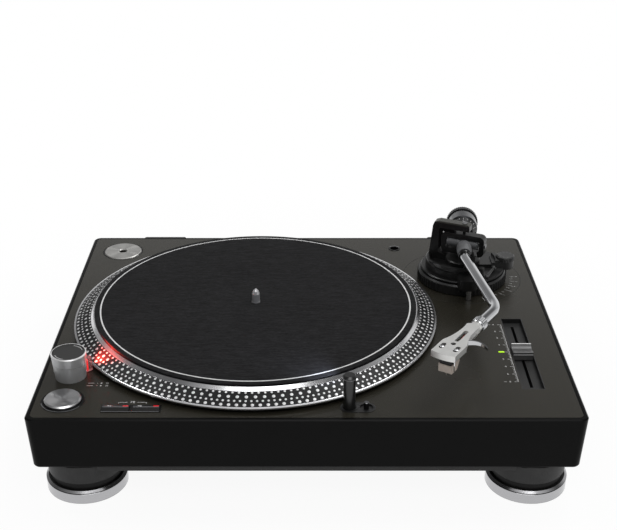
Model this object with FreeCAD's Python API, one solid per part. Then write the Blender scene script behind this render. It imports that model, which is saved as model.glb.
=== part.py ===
import FreeCAD, Part
import math
import os

# Direct-drive DJ turntable. Millimetres, +X right, +Z up, the front towards -Y.
# Pieces are drawn in deck coordinates: x from the middle, y backwards from the front face,
# z up from the top panel. Each is then moved so that the origin is on the floor, below the
# middle of the whole object.

# Main sizes and margins
PLATTER_RADIUS = 166.0
RING_RADIUS = 43.5
RING_GAP = 7.2
ARM_DIRECTION = 22.66
PLATTER_SIDE_MARGIN = 12.4
PLATTER_FRONT_MARGIN = 8.9
ARM_SIDE_MARGIN = 71.6
ARM_REAR_MARGIN = 94.6
PIVOT_DISTANCE = PLATTER_RADIUS + RING_GAP + RING_RADIUS
PIVOT_RIGHT = PIVOT_DISTANCE * math.cos(math.radians(ARM_DIRECTION))
PIVOT_BACK = PIVOT_DISTANCE * math.sin(math.radians(ARM_DIRECTION))
RUNNING = 0.06

# Plinth and covers
PLINTH_WIDTH = PLATTER_SIDE_MARGIN + PLATTER_RADIUS + PIVOT_RIGHT + ARM_SIDE_MARGIN
PLINTH_DEPTH = PLATTER_FRONT_MARGIN + PLATTER_RADIUS + PIVOT_BACK + ARM_REAR_MARGIN
PLINTH_HEIGHT = 47.6
PLINTH_CORNER = 6.0
SIDE_DRAFT = 2.0
BOTTOM_ROUND = 1.6
RIM_CHAMFER = 1.0
WALL = 3.6
PANEL_THICKNESS = 2.6
RIM_WIDTH = 3.4
PANEL_GAP = 0.35
LEDGE_WIDTH = 6.0
LEDGE_THICKNESS = 4.5
COVER_THICKNESS = 2.5
PAN_DEPTH = 4.0
PAN_FRONT = 3.7
PAN_SIDE = 43.0
PAN_CORNER = 6.0
PAN_FOOT_GAP = 2.4
DISH_MARGIN = 9.0
VENT_COUNT = 9
VENT_LENGTH = 46.0
VENT_WIDTH = 3.0
VENT_PITCH = 8.0
BOSS_RADIUS = 4.5
BOSS_MARGIN = 1.0
BOSS_WEB = 2.4
SCREW_RADIUS = 1.5
SCREW_HEAD_RADIUS = 3.0
SCREW_HEAD_HEIGHT = 1.8
SCREW_LENGTH = 11.0

# Feet
FOOT_HEIGHT = 35.6
FOOT_SIDE = 39.0
FOOT_MARGIN = 34.2
FOOT_RADIUS = 31.5
FOOT_BAND_RADIUS = 34.0
FOOT_BAND_HEIGHT = 10.2
FOOT_BAND_EDGE = 0.8
FOOT_BEVEL = 2.0
FOOT_GROOVE = 0.5
FOOT_NECK_RADIUS = 29.7
FOOT_NECK_HEIGHT = 5.3
FOOT_EDGE = 1.2
FOOT_BOLT_RADIUS = 4.0
FOOT_BOLT_LENGTH = 18.0
FOOT_GAP = 0.15
FOOT_NUT_HEIGHT = 12.0
FOOT_NUT_WALL = 4.0
FOOT_X = PLINTH_WIDTH / 2 - FOOT_SIDE

# Platter, spindle and motor
PLATTER_X = -PLINTH_WIDTH / 2 + PLATTER_SIDE_MARGIN + PLATTER_RADIUS
PLATTER_Y = PLATTER_FRONT_MARGIN + PLATTER_RADIUS
PLATTER_TOP = 14.4
STROBE_WIDTH = 17.8
PLATTER_TOP_RADIUS = PLATTER_RADIUS - STROBE_WIDTH
PLATTER_EDGE_DROP = 2.8
PLATTER_EDGE_STEP = 2.2
STROBE_FOOT_INSET = 1.4
STROBE_FOOT_HEIGHT = 5.0
LIP_THICKNESS = 1.3
LIP_DROP = 0.3
SKIRT_WIDTH = 5.0
PLATTER_PLATE = 4.0
PLATTER_CLEARANCE = 2.4
PLATTER_RIB = 3.0
PLATTER_RIB_DEPTH = 3.5
HUB_RADIUS = 22.0
SPINDLE_RADIUS = 3.6
SPINDLE_REACH = 14.4
SPINDLE_TOP = PLATTER_TOP + SPINDLE_REACH
SPINDLE_CONE = 5.0
SPINDLE_TIP = 0.8
COLLAR_PIN_RADIUS = SPINDLE_RADIUS + 0.3
PIN_GROOVE = 0.3
SHOULDER_RADIUS = 6.0
SHOULDER_DROP = 0.5
SHAFT_RADIUS = 4.0
SHAFT_CHAMFER = 0.8
MOTOR_OPENING_RADIUS = 66.0
STATOR_LEDGE = 8.0
STATOR_RADIUS = MOTOR_OPENING_RADIUS + STATOR_LEDGE
STATOR_PLATE = 2.4
COIL_COUNT = 12
COIL_RADIUS = 8.0
COIL_CIRCLE = 45.0
COIL_GAP = 1.2
MAGNET_INNER_RADIUS = 33.0
MAGNET_OUTER_RADIUS = 59.0
MAGNET_THICKNESS = 6.0
MAGNET_RIB_GAP = 6.0
OUTER_RIB_INSET = 28.0
BEARING_RADIUS = 9.0
BEARING_DEPTH = 32.0
BEARING_FLOOR = 3.0

# Slipmat and 45 adapter
MAT_INSET = 1.0
MAT_RADIUS = PLATTER_TOP_RADIUS - MAT_INSET
MAT_THICKNESS = 1.3
SOFT_GAP = 0.3
COLLAR_PIN_TOP = PLATTER_TOP + SOFT_GAP + MAT_THICKNESS + SOFT_GAP
ADAPTER_SIDE = 34.5
ADAPTER_REAR = 35.0
ADAPTER_X = -PLINTH_WIDTH / 2 + ADAPTER_SIDE
ADAPTER_Y = PLINTH_DEPTH - ADAPTER_REAR
ADAPTER_RADIUS = 19.0
ADAPTER_HEIGHT = 9.4
ADAPTER_PROUD = 0.9
ADAPTER_CHAMFER = 0.8
ADAPTER_BORE_GAP = 0.08
CUP_WALL = 1.2
CUP_CLEARANCE = 0.35
CUP_FLOOR_GAP = 0.1

# Power dial and strobe tower
TOWER_GAP = 5.3
TOWER_FOOT_RADIUS = 12.9
TOWER_NECK_RADIUS = 14.1
TOWER_HEIGHT = 14.4
DIAL_GAP = 0.2
DIAL_TOP_RADIUS = 14.9
DIAL_HEIGHT = 9.0
DIAL_RECESS = 0.5
DIAL_RIM = 1.3
DIAL_EDGE = 0.9
DIAL_STEM_RADIUS = 4.0
DIAL_STEM_LENGTH = 6.0
NOTCH_DIRECTION = 200.0
NOTCH_RADIUS = 0.9
LENS_WIDTH = 8.0
LENS_HEIGHT = 12.0
LENS_LIFT = 0.8
LENS_GAP = 1.1
LENS_ROOT = 4.0
TOWER_DISTANCE = PLATTER_RADIUS + TOWER_GAP + DIAL_TOP_RADIUS

# Start button and speed keys
START_RADIUS = 15.1
START_TOP = 3.2
START_HEIGHT = 9.0
START_RIM = 5.0
START_STEP = 4.0
START_CHAMFER = 1.1
START_TRAVEL = 1.5
START_BEZEL_RADIUS = 17.9
START_GAP = 6.7
START_SIDE_GAP = 8.6
START_FRONT_GAP = 10.6
STOP_GAP = 0.6
BEZEL_PROUD = 0.5
BEZEL_LAP = 1.0
KEY_BEZEL_LAP = 0.8
BEZEL_FLOOR = 1.2
BUTTON_CLEARANCE = 0.25
START_X = -PLINTH_WIDTH / 2 + START_SIDE_GAP + START_BEZEL_RADIUS
START_Y = START_FRONT_GAP + START_BEZEL_RADIUS
TOWER_Y = START_Y + START_BEZEL_RADIUS + START_GAP + DIAL_TOP_RADIUS
TOWER_X = PLATTER_X - math.sqrt(TOWER_DISTANCE ** 2 - (PLATTER_Y - TOWER_Y) ** 2)
KEY_BEZEL_WIDTH = 48.6
KEY_BEZEL_DEPTH = 10.4
KEY_GAP = 14.9
KEY_FORWARD = 11.9
KEY_WIDTH = 21.6
KEY_DEPTH = 8.0
KEY_SPACING = 24.6
KEY_TOP = 2.3
KEY_SLOPE = 1.1
KEY_LIP = 3.4
KEY_TRAVEL = 1.0
KEY_STEM = 7.0
KEY_SKIRT = 2.0
KEY_BEZEL_X = START_X + START_BEZEL_RADIUS + KEY_GAP + KEY_BEZEL_WIDTH / 2
KEY_BEZEL_Y = START_Y - KEY_FORWARD

# Pop-up lamp and its button
LAMP_FRONT = 18.5
LAMP_GAP = 4.4
LAMP_RADIUS = 5.0
LAMP_HEAD_RADIUS = 5.7
LAMP_HEAD = 3.6
LAMP_TOP = 31.0
LAMP_STOWED = 4.0
LAMP_TRAVEL = LAMP_TOP - LAMP_STOWED
LAMP_WALL = 1.7
LAMP_SLEEVE = 14.0
LAMP_LENGTH = LAMP_TRAVEL + LAMP_SLEEVE
LAMP_COLLAR = 0.9
LAMP_PLATE_LENGTH = 29.0
LAMP_PLATE_DEPTH = 15.0
LAMP_PLATE_PROUD = 0.35
LAMP_WINDOW_WIDTH = 4.4
LAMP_WINDOW_HEIGHT = 6.0
LAMP_BUTTON_OFFSET = 13.9
LAMP_BUTTON_RADIUS = 2.2
LAMP_BUTTON_TRAVEL = 3.0
LAMP_BUTTON_TOP = LAMP_BUTTON_TRAVEL + 2.4
LAMP_BUTTON_LENGTH = 14.0
LAMP_RECESS_RADIUS = 5.6
LAMP_RECESS_DEPTH = 1.0
LAMP_RECESS_WALL = 0.8
LAMP_BUTTON_SLEEVE = 8.0
LAMP_DISTANCE = PLATTER_RADIUS + LAMP_GAP + LAMP_HEAD_RADIUS
LAMP_X = PLATTER_X + math.sqrt(LAMP_DISTANCE ** 2 - (PLATTER_Y - LAMP_FRONT) ** 2)
LAMP_Y = LAMP_FRONT
LAMP_BUTTON_X = LAMP_X + LAMP_BUTTON_OFFSET

# Tempo fader
FADER_MARGIN = 36.4
FADER_FRONT = 46.5
FADER_WIDTH = 19.4
FADER_LENGTH = 124.0
FADER_END = 15.0
FADER_DEPTH = 4.0
FADER_WALL = 0.8
FADER_TRAVEL = FADER_LENGTH / 2 - FADER_END
FADER_SLOT_WIDTH = 2.6
FADER_X = PLINTH_WIDTH / 2 - FADER_MARGIN
FADER_Y = FADER_FRONT + FADER_LENGTH / 2
KNOB_SIDE_GAP = 0.2
KNOB_WIDTH = FADER_WIDTH - 2 * (FADER_WALL + KNOB_SIDE_GAP)
KNOB_LENGTH = 16.0
KNOB_TOP = 4.8
KNOB_FLOAT = 0.6
KNOB_VALLEY = 2.4
KNOB_EDGE = 2.2
STEM_THICKNESS = 1.4
STEM_LENGTH = 8.0
STEM_END_GAP = 2.0
HOUSING_DEPTH = 10.0
HOUSING_SKIN = 2.0

# Tonearm base, measured from the pivot
ARM_X = PLINTH_WIDTH / 2 - ARM_SIDE_MARGIN
ARM_Y = PLATTER_Y + PIVOT_BACK
SCALE_MARGIN = 14.3
SCALE_RADIUS = RING_RADIUS + SCALE_MARGIN
SCALE_THICKNESS = 0.5
PLATE_GAP = 0.05
RING_WALL = 9.5
PILLAR_RADIUS = RING_RADIUS - RING_WALL
PILLAR_WALL = 12.0
PILLAR_BORE = PILLAR_RADIUS - PILLAR_WALL
PILLAR_TOP = 8.0
PILLAR_DEPTH = 20.0
PILLAR_FLANGE = 8.0
PILLAR_FLANGE_HEIGHT = 4.0
RING_LOW = 0.9
RING_TOP = 10.4
RING_CROWN = 1.4
FLUTE_COUNT = 72
FLUTE_DEPTH = 0.7
RING_EDGE = 1.2
BASE_GAP = 0.5
BASE_LOW = RING_TOP + BASE_GAP
BASE_DISC_INSET = 3.0
BASE_DISC_RADIUS = RING_RADIUS - BASE_DISC_INSET
BASE_DISC_THICKNESS = 2.6
BASE_EDGE = 0.8
BASE_BORE = 8.0
BASE_SHAFT_GAP = 4.0
DRUM_INSET = 4.5
DRUM_RADIUS = BASE_DISC_RADIUS - DRUM_INSET
DRUM_WALL = 4.0
DRUM_HEIGHT = 10.1
DRUM_FLOOR_HEIGHT = 6.1
DRUM_TOP = BASE_LOW + DRUM_HEIGHT
DRUM_FLOOR = BASE_LOW + DRUM_FLOOR_HEIGHT
ARM_HEIGHT_TRAVEL = 6.0
NOSE_WIDTH = 18.5
NOSE_REACH = 54.4
NOSE_OFFSET = 0.2
NOSE_X = ARM_X - NOSE_OFFSET
NOSE_CORNER = 1.5
REAR_CLEARING = 12.0
NOSE_FRONT = ARM_Y - NOSE_REACH
GUIDE_RADIUS = 2.4
GUIDE_GAP = 0.5
GUIDE_SPARE = 3.0
GUIDE_LENGTH = ARM_HEIGHT_TRAVEL + GUIDE_SPARE
GUIDE_OFFSET = 0.8
GUIDE_REACH = 49.8
GUIDE_X = ARM_X + GUIDE_OFFSET
GUIDE_Y = ARM_Y - GUIDE_REACH
BRACKET_WIDTH = 17.0
BRACKET_BACK = 1.1
BRACKET_HEIGHT = 7.7
BRACKET_Y = ARM_Y + BRACKET_BACK
BRACKET_TOP = BASE_LOW + BRACKET_HEIGHT
ANTISKATE_REACH = 42.1
ANTISKATE_X = ARM_X + ANTISKATE_REACH
ANTISKATE_RADIUS = 9.1
ANTISKATE_HEIGHT = 4.9
ANTISKATE_TOP = BRACKET_TOP + ANTISKATE_HEIGHT
ANTISKATE_GAP = 0.4
ANTISKATE_FLUTES = 36

# Gimbal and its frame
GIMBAL_YAW = 24.0
ARM_AXIS_RISE = 26.1
ARM_AXIS_HEIGHT = BASE_LOW + ARM_AXIS_RISE
FRAME_INSET = 2.0
FRAME_REACH = DRUM_RADIUS - FRAME_INSET
FRAME_POST = 9.7
FRAME_BEAM = 7.0
FRAME_RISE = 20.4
FRAME_TOP = ARM_AXIS_HEIGHT + FRAME_RISE
FRAME_FOOT = 7.8
FRAME_FOOT_SLOPE = 3.0
FRAME_BOSS_RADIUS = 16.0
FRAME_BOSS_HEIGHT = 4.8
FRAME_DEPTH = 8.4
FRAME_NOSE = 6.0
FRAME_LEAN = 3.2
FRAME_EDGE = 1.5
FRAME_SHOULDER = 5.5
GIMBAL_GAP = 2.8
GIMBAL_HALF = FRAME_REACH - FRAME_POST - GIMBAL_GAP
GIMBAL_DROP = 11.0
GIMBAL_RISE = 10.2
GIMBAL_LOW = ARM_AXIS_HEIGHT - GIMBAL_DROP
GIMBAL_TOP = ARM_AXIS_HEIGHT + GIMBAL_RISE
GIMBAL_BAR = 4.6
GIMBAL_DEPTH = 9.0
GIMBAL_CORNER = 5.0
PIVOT_RADIUS = 1.5
PIVOT_GAP = 0.05
PIVOT_END = 1.4
PIVOT_SPARE = 0.6
PIVOT_SCREW = 2.6
PIVOT_HEAD = 0.8

# Arm: hub, tube, head and weight
REST_LIFT = 0.7
HOLDER_YAW = 5.1
TUBE_YAW = -7.9
HEAD_YAW = 32.2
HOLDER_REACH = 36.0
SECOND_RUN = 36.4
RUN_SHORT = 111.0
FIRST_RUN = PIVOT_DISTANCE - RUN_SHORT
FIRST_BEND = 28.0
SECOND_BEND = 30.0
TUBE_RADIUS = 4.75
CROSS_RADIUS = 4.7
CROSS_LEFT = 16.0
CROSS_RIGHT = 15.0
HOLDER_RADIUS = 7.2
HOLDER_LENGTH = 28.0
HOLDER_SHOULDER = 13.0
HOLDER_REAR = 8.0
HOLDER_NECK = 6.5
HOLDER_NECK_RADIUS = 4.2
TUBE_SEAT = 8.0
FERRULE_LENGTH = 3.7
FERRULE_RADIUS = 5.5
REAR_SHAFT_RADIUS = 4.0
COLLAR_LENGTH = 9.0
COLLAR_RADIUS = 6.3
COLLAR_FLUTES = 24
HEAD_REACH = 69.4
HEAD_WIDTH = 21.5
HEAD_RISE = 4.6
HEAD_PLATE = 2.2
HEAD_SKIRT = 5.4
HEAD_WALL = 1.5
HEAD_NECK_RADIUS = 5.0
HEAD_NECK = 7.0
HEAD_SHOULDER = 22.0
HEAD_BOW = 0.8
CARTRIDGE_SIDE_GAP = 2.45
CARTRIDGE_WIDTH = HEAD_WIDTH - 2 * CARTRIDGE_SIDE_GAP
CARTRIDGE_LENGTH = 15.0
CARTRIDGE_SETBACK = 6.4
SCREW_SPACING = 12.7
CARTRIDGE_DROP = 8.4
STYLUS_SIDE_GAP = 5.05
STYLUS_WIDTH = HEAD_WIDTH - 2 * STYLUS_SIDE_GAP
STYLUS_HEIGHT = 8.0
STYLUS_DROP = CARTRIDGE_DROP + STYLUS_HEIGHT
NEEDLE_REACH = 3.0
NEEDLE_DROP = STYLUS_DROP + NEEDLE_REACH
NEEDLE_SETBACK = 9.5
LIFT_BACK = 31.0
LIFT_REACH = 18.0
WEIGHT_START = 33.0
WEIGHT_RADIUS = 15.8
WEIGHT_STEP = 1.2
WEIGHT_BAND_RADIUS = WEIGHT_RADIUS - WEIGHT_STEP
WEIGHT_BAND = 16.5
WEIGHT_GRIP = 7.0
WEIGHT_END = 1.0
WEIGHT_FLUTES = 48
FORCE_DIAL_STEP = 2.4
FORCE_DIAL_RADIUS = WEIGHT_RADIUS - FORCE_DIAL_STEP
FORCE_DIAL_LENGTH = 6.0
SLEEVE_RADIUS = 5.4
SHAFT_PROUD = 3.0
REAR_SHAFT_LENGTH = WEIGHT_START + WEIGHT_BAND + WEIGHT_GRIP + SHAFT_PROUD

# Spare headshell socket
SOCKET_LEFT = 61.9
SOCKET_REAR = 28.0
SOCKET_X = ARM_X - SOCKET_LEFT
SOCKET_Y = PLINTH_DEPTH - SOCKET_REAR
SOCKET_RADIUS = 6.2
SOCKET_BORE = 4.1
SOCKET_DEPTH = 14.0
SOCKET_FLOOR = 1.5

# Arm rest, clamp and cueing
REST_REACH = 31.9
REST_Y = ARM_Y - REST_REACH
REST_GAP = 1.0
REST_LIP = 0.15
REST_SIDE_GAP = 2.2
REST_WALL = 3.0
REST_WIDTH = 4.4
CLAMP_REACH = 12.0
CLAMP_THICKNESS = 1.4
CLAMP_WIDTH = 2.4
CLAMP_PIN_RADIUS = 0.85
CLAMP_PIN_LENGTH = 6.0
CUE_BAR_GAP = 2.4
CUE_BAR_RADIUS = DRUM_RADIUS + CUE_BAR_GAP
CUE_BAR_WIDTH = 2.8
CUE_TRAVEL = 4.5
CUE_CLEARANCE = 0.75
CUE_BAR_TOP = ARM_AXIS_HEIGHT - TUBE_RADIUS - CUE_CLEARANCE - CUE_TRAVEL
CUE_BAR_THICKNESS = 2.6
CUE_BAR_START = -152.0
CUE_BAR_END = -66.0
CUE_PISTON_RADIUS = 3.0
CUE_HOUSING_RADIUS = 4.8
CUE_LEVER_RIGHT = 18.1
CUE_LEVER_FORWARD = 32.4
CUE_LEVER_X = ARM_X + CUE_LEVER_RIGHT
CUE_LEVER_Y = ARM_Y - CUE_LEVER_FORWARD
CUE_LEVER_LENGTH = 20.0
CUE_LEVER_YAW = 31.7
CUE_SHAFT_RADIUS = 1.5
CUE_SHAFT_LENGTH = 5.0
CUE_SHAFT_RISE = 5.0
CUE_BEARING_WALL = 1.3
CUE_HOUSING_SPARE = 4.0
CUE_POST_GAP = 1.0
CUE_SHAFT_HEIGHT = BASE_LOW + CUE_SHAFT_RISE

# Rear side
REAR_Z = -25.0
REAR_PANEL_X = PLINTH_WIDTH * 0.138
REAR_PANEL_WIDTH = 118.0
REAR_PANEL_HEIGHT = 26.0
REAR_PANEL_THICKNESS = 2.0
REAR_PANEL_LEDGE = 3.5
REAR_PANEL_GAP = 0.3
JACK_RADIUS = 4.15
JACK_LENGTH = 9.0
JACK_COLLAR = 1.6
JACK_BORE = 1.7
JACK_SPACING = 18.0
JACK_MARGIN = 16.0
JACK_ROOT = 8.0
STUD_RADIUS = 2.0
STUD_LENGTH = 9.0
GROUND_RADIUS = 4.6
GROUND_OFFSET = 4.0
GROUND_NUT_LENGTH = 6.0
SWITCH_MARGIN = 26.0
SWITCH_TRAVEL = 3.0
SWITCH_WIDTH = 8.4
SWITCH_HEIGHT = 4.6
SWITCH_TAB = 4.0
SWITCH_PROUD = 2.2
INLET_X = -PLINTH_WIDTH * 0.231
INLET_WIDTH = 24.0
INLET_HEIGHT = 16.0
INLET_DEPTH = 18.0
INLET_FLANGE = 3.0
INLET_PROUD = 1.4
INLET_GAP = 0.2
PLUG_WIDTH = 14.4
PLUG_HEIGHT = 8.4
PLUG_DEPTH = 14.0
CONTACT_RADIUS = 1.2
CONTACT_SPACING = 8.0
HINGE_X = PLINTH_WIDTH * 0.338
HINGE_DROP = 6.0
HINGE_WIDTH = 44.0
HINGE_DEPTH = 15.0
HINGE_HEIGHT = 34.0
HINGE_FLOOR = 4.0
HINGE_SLOT_WIDTH = 30.0
HINGE_SLOT_DEPTH = 6.0
HINGE_CORNER = 2.0

# Electronics
BOARD_THICKNESS = 1.6
BOARD_LIFT = 3.0
LEG_RADIUS = 3.0
LEG_INSET = 6.0
MAIN_BOARD_X = PLINTH_WIDTH * 0.133
MAIN_BOARD_Y = PLINTH_DEPTH * 0.788
MAIN_BOARD_WIDTH = PLINTH_WIDTH * 0.31
MAIN_BOARD_DEPTH = PLINTH_DEPTH * 0.18
SUPPLY_X = -PLINTH_WIDTH * 0.28
SUPPLY_Y = PLINTH_DEPTH * 0.7
SUPPLY_WIDTH = PLINTH_WIDTH * 0.155
SUPPLY_DEPTH = PLINTH_DEPTH * 0.255
TRANSFORMER_HEIGHT = 22.0
CAN_RADIUS = 6.0
CAN_HEIGHT = 18.0
CHIP_HEIGHT = 2.0
CHIP_WIDTH = 14.0

OVERALL_DEPTH = PLINTH_DEPTH + HINGE_DEPTH
DECK_TO_ROW = FreeCAD.Vector(0, -OVERALL_DEPTH / 2, FOOT_HEIGHT + PLINTH_HEIGHT)
LEDGE_BOTTOM = -PANEL_THICKNESS - LEDGE_THICKNESS
SHELL_INSET = SIDE_DRAFT + BOTTOM_ROUND + WALL
REAR_FACE = PLINTH_DEPTH - SIDE_DRAFT
COVER_TOP = -PLINTH_HEIGHT + COVER_THICKNESS
DISH_FLOOR = -PLINTH_HEIGHT - PAN_DEPTH + COVER_THICKNESS
DISH_INSET = SHELL_INSET + PANEL_GAP + DISH_MARGIN
PLATTER = (PLATTER_X, PLATTER_Y)
ARM = (ARM_X, ARM_Y)
ARM_PIVOT = FreeCAD.Vector(ARM_X, ARM_Y, ARM_AXIS_HEIGHT)
UP = FreeCAD.Vector(0, 0, 1)
FEET = {
    "front_left": (-FOOT_X, FOOT_MARGIN),
    "front_right": (FOOT_X, FOOT_MARGIN),
    "rear_left": (-FOOT_X, PLINTH_DEPTH - FOOT_MARGIN),
    "rear_right": (FOOT_X, PLINTH_DEPTH - FOOT_MARGIN),
}


# Drawing helpers
def vec(x, y, z=0.0):
    return FreeCAD.Vector(x, y, z)


def forward(yaw):
    """Unit vector that points forward, turned to the left by yaw degrees."""
    turn = math.radians(yaw)
    return vec(-math.sin(turn), -math.cos(turn))


def rightward(yaw):
    """Unit vector to the right of forward(yaw)."""
    turn = math.radians(yaw)
    return vec(math.cos(turn), -math.sin(turn))


def disc(radius, low, high, centre=(0.0, 0.0)):
    return Part.makeCylinder(radius, high - low, vec(centre[0], centre[1], low))


def ring(outer, inner, low, high, centre=(0.0, 0.0)):
    return disc(outer, low, high, centre).cut(disc(inner, low - 1, high + 1, centre))


def rod(start, end, radius):
    run = end - start
    return Part.makeCylinder(radius, run.Length, start, run)


def taper(start, end, start_radius, end_radius):
    run = end - start
    return Part.makeCone(start_radius, end_radius, run.Length, start, run)


def block(x_low, x_high, y_low, y_high, low, high):
    return Part.makeBox(x_high - x_low, y_high - y_low, high - low, vec(x_low, y_low, low))


def centred_block(centre, width, depth, low, high):
    return block(centre[0] - width / 2, centre[0] + width / 2,
                 centre[1] - depth / 2, centre[1] + depth / 2, low, high)


def rounded_wire(x_low, x_high, y_low, y_high, radius, z=0.0):
    """Closed rectangle with round corners, in the plane at z."""
    corners = [
        (x_high - radius, y_low + radius, -90),
        (x_high - radius, y_high - radius, 0),
        (x_low + radius, y_high - radius, 90),
        (x_low + radius, y_low + radius, 180),
    ]
    arcs = []
    for x, y, start in corners:
        points = []
        for turn in (start, start + 45, start + 90):
            angle = math.radians(turn)
            points.append(vec(x + radius * math.cos(angle), y + radius * math.sin(angle), z))
        arcs.append(points)
    edges = []
    for index, points in enumerate(arcs):
        edges.append(Part.Arc(*points).toShape())
        following = arcs[(index + 1) % len(arcs)]
        if (following[0] - points[2]).Length > 1e-6:
            edges.append(Part.LineSegment(points[2], following[0]).toShape())
    return Part.Wire(edges)


def rounded_block(x_low, x_high, y_low, y_high, radius, low, high):
    face = Part.Face(rounded_wire(x_low, x_high, y_low, y_high, radius, low))
    return face.extrude(vec(0, 0, high - low))


def polygon_face(points):
    return Part.Face(Part.makePolygon(list(points) + [points[0]]))


def turned(profile, centre=(0.0, 0.0)):
    """Solid of revolution from (radius, height) corners about a vertical axis."""
    face = polygon_face([vec(radius, 0, height) for radius, height in profile])
    solid = face.revolve(vec(0, 0, 0), UP, 360)
    solid.translate(vec(centre[0], centre[1]))
    return solid


def lay_along(shape, start, direction):
    """Turn a shape drawn up the Z axis so that Z points along direction from start."""
    shape = shape.copy()
    shape.Placement = FreeCAD.Placement(start, FreeCAD.Rotation(UP, direction)).multiply(shape.Placement)
    return shape


def fluted(radius, depth, count, length):
    """Knurled cylinder up the Z axis, with count shallow V grooves."""
    points = []
    for index in range(2 * count):
        reach = radius if index % 2 == 0 else radius - depth
        angle = math.pi * index / count
        points.append(vec(reach * math.cos(angle), reach * math.sin(angle)))
    return polygon_face(points).extrude(vec(0, 0, length))


def fuse_all(shapes):
    whole = shapes[0]
    for shape in shapes[1:]:
        whole = whole.fuse(shape)
    return whole.removeSplitter()


def cut_all(solid, tools):
    for tool in tools:
        solid = solid.cut(tool)
    return solid


def in_arm_plane(points, depth, yaw):
    """Extrude a profile given as (distance to the right of the pivot, height) across the arm."""
    across = rightward(yaw)
    corners = []
    for distance, height in points:
        corners.append(vec(ARM_X, ARM_Y, height) + across * distance)
    face = polygon_face(corners)
    face.translate(forward(yaw) * (-depth / 2))
    return face.extrude(forward(yaw) * depth)


# Plinth, covers and feet
def plinth_block(inset, low, high, corner=PLINTH_CORNER):
    half = PLINTH_WIDTH / 2 - inset
    return rounded_block(-half, half, inset, PLINTH_DEPTH - inset, corner, low, high)


def plinth_outline(inset, z):
    half = PLINTH_WIDTH / 2 - inset
    return rounded_wire(-half, half, inset, PLINTH_DEPTH - inset, PLINTH_CORNER, z)


def boss_places():
    inset = WALL + SIDE_DRAFT + BOSS_RADIUS + BOSS_MARGIN
    side = PLINTH_WIDTH / 2 - inset
    middle = PLINTH_WIDTH / 6
    return [
        (-side, PLINTH_DEPTH * 0.42), (side, PLINTH_DEPTH * 0.42),
        (-side, PLINTH_DEPTH * 0.66), (side, PLINTH_DEPTH * 0.66),
        (-middle, inset), (middle, inset),
        (-middle, PLINTH_DEPTH - inset), (middle, PLINTH_DEPTH - inset),
    ]


def plinth_shell():
    outline = [
        plinth_outline(SIDE_DRAFT + BOTTOM_ROUND, -PLINTH_HEIGHT),
        plinth_outline(SIDE_DRAFT + BOTTOM_ROUND * 0.3, -PLINTH_HEIGHT + BOTTOM_ROUND * 0.35),
        plinth_outline(SIDE_DRAFT, -PLINTH_HEIGHT + BOTTOM_ROUND),
        plinth_outline(0.0, -RIM_CHAMFER),
        plinth_outline(RIM_CHAMFER, 0.0),
    ]
    shell = Part.makeLoft(outline, True, True)
    shell = shell.cut(plinth_block(SHELL_INSET, -PLINTH_HEIGHT - 1, LEDGE_BOTTOM))
    shell = shell.cut(plinth_block(RIM_WIDTH + LEDGE_WIDTH, LEDGE_BOTTOM - 1, 1))
    shell = shell.cut(plinth_block(RIM_WIDTH, -PANEL_THICKNESS, 1))
    posts = [disc(BOSS_RADIUS, COVER_TOP, LEDGE_BOTTOM, place) for place in boss_places()]
    shell = fuse_all([shell] + posts + boss_ribs())
    holes = []
    for place in boss_places():
        holes.append(disc(SCREW_RADIUS, COVER_TOP - 1, COVER_TOP + SCREW_LENGTH, place))
    holes.append(rear_opening(REAR_PANEL_X, REAR_PANEL_WIDTH - 2 * REAR_PANEL_LEDGE,
                              REAR_PANEL_HEIGHT - 2 * REAR_PANEL_LEDGE))
    holes.append(rear_opening(INLET_X, INLET_WIDTH, INLET_HEIGHT))
    holes.append(jack_recess())
    return cut_all(shell, holes)


def rear_opening(x, width, height):
    """Cutter through the rear wall alone."""
    return block(x - width / 2, x + width / 2, PLINTH_DEPTH - SHELL_INSET - 1, PLINTH_DEPTH + 1,
                 REAR_Z - height / 2, REAR_Z + height / 2)


def boss_ribs():
    """Short webs that tie each screw boss to the nearest wall."""
    webs = []
    reach = SHELL_INSET - WALL / 4
    for x, y in boss_places():
        if abs(x) > PLINTH_WIDTH / 3:
            outer = math.copysign(PLINTH_WIDTH / 2 - reach, x)
            webs.append(block(min(x, outer), max(x, outer), y - BOSS_WEB / 2, y + BOSS_WEB / 2,
                              COVER_TOP, LEDGE_BOTTOM))
        else:
            outer = reach if y < PLINTH_DEPTH / 2 else PLINTH_DEPTH - reach
            webs.append(block(x - BOSS_WEB / 2, x + BOSS_WEB / 2, min(y, outer), max(y, outer),
                              COVER_TOP, LEDGE_BOTTOM))
    return webs


def jack_recess():
    """Flat seat for the rear panel, cut into the drafted rear wall."""
    return block(REAR_PANEL_X - REAR_PANEL_WIDTH / 2, REAR_PANEL_X + REAR_PANEL_WIDTH / 2,
                 PLINTH_DEPTH - SIDE_DRAFT - REAR_PANEL_THICKNESS, PLINTH_DEPTH + 1,
                 REAR_Z - REAR_PANEL_HEIGHT / 2, REAR_Z + REAR_PANEL_HEIGHT / 2)


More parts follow.
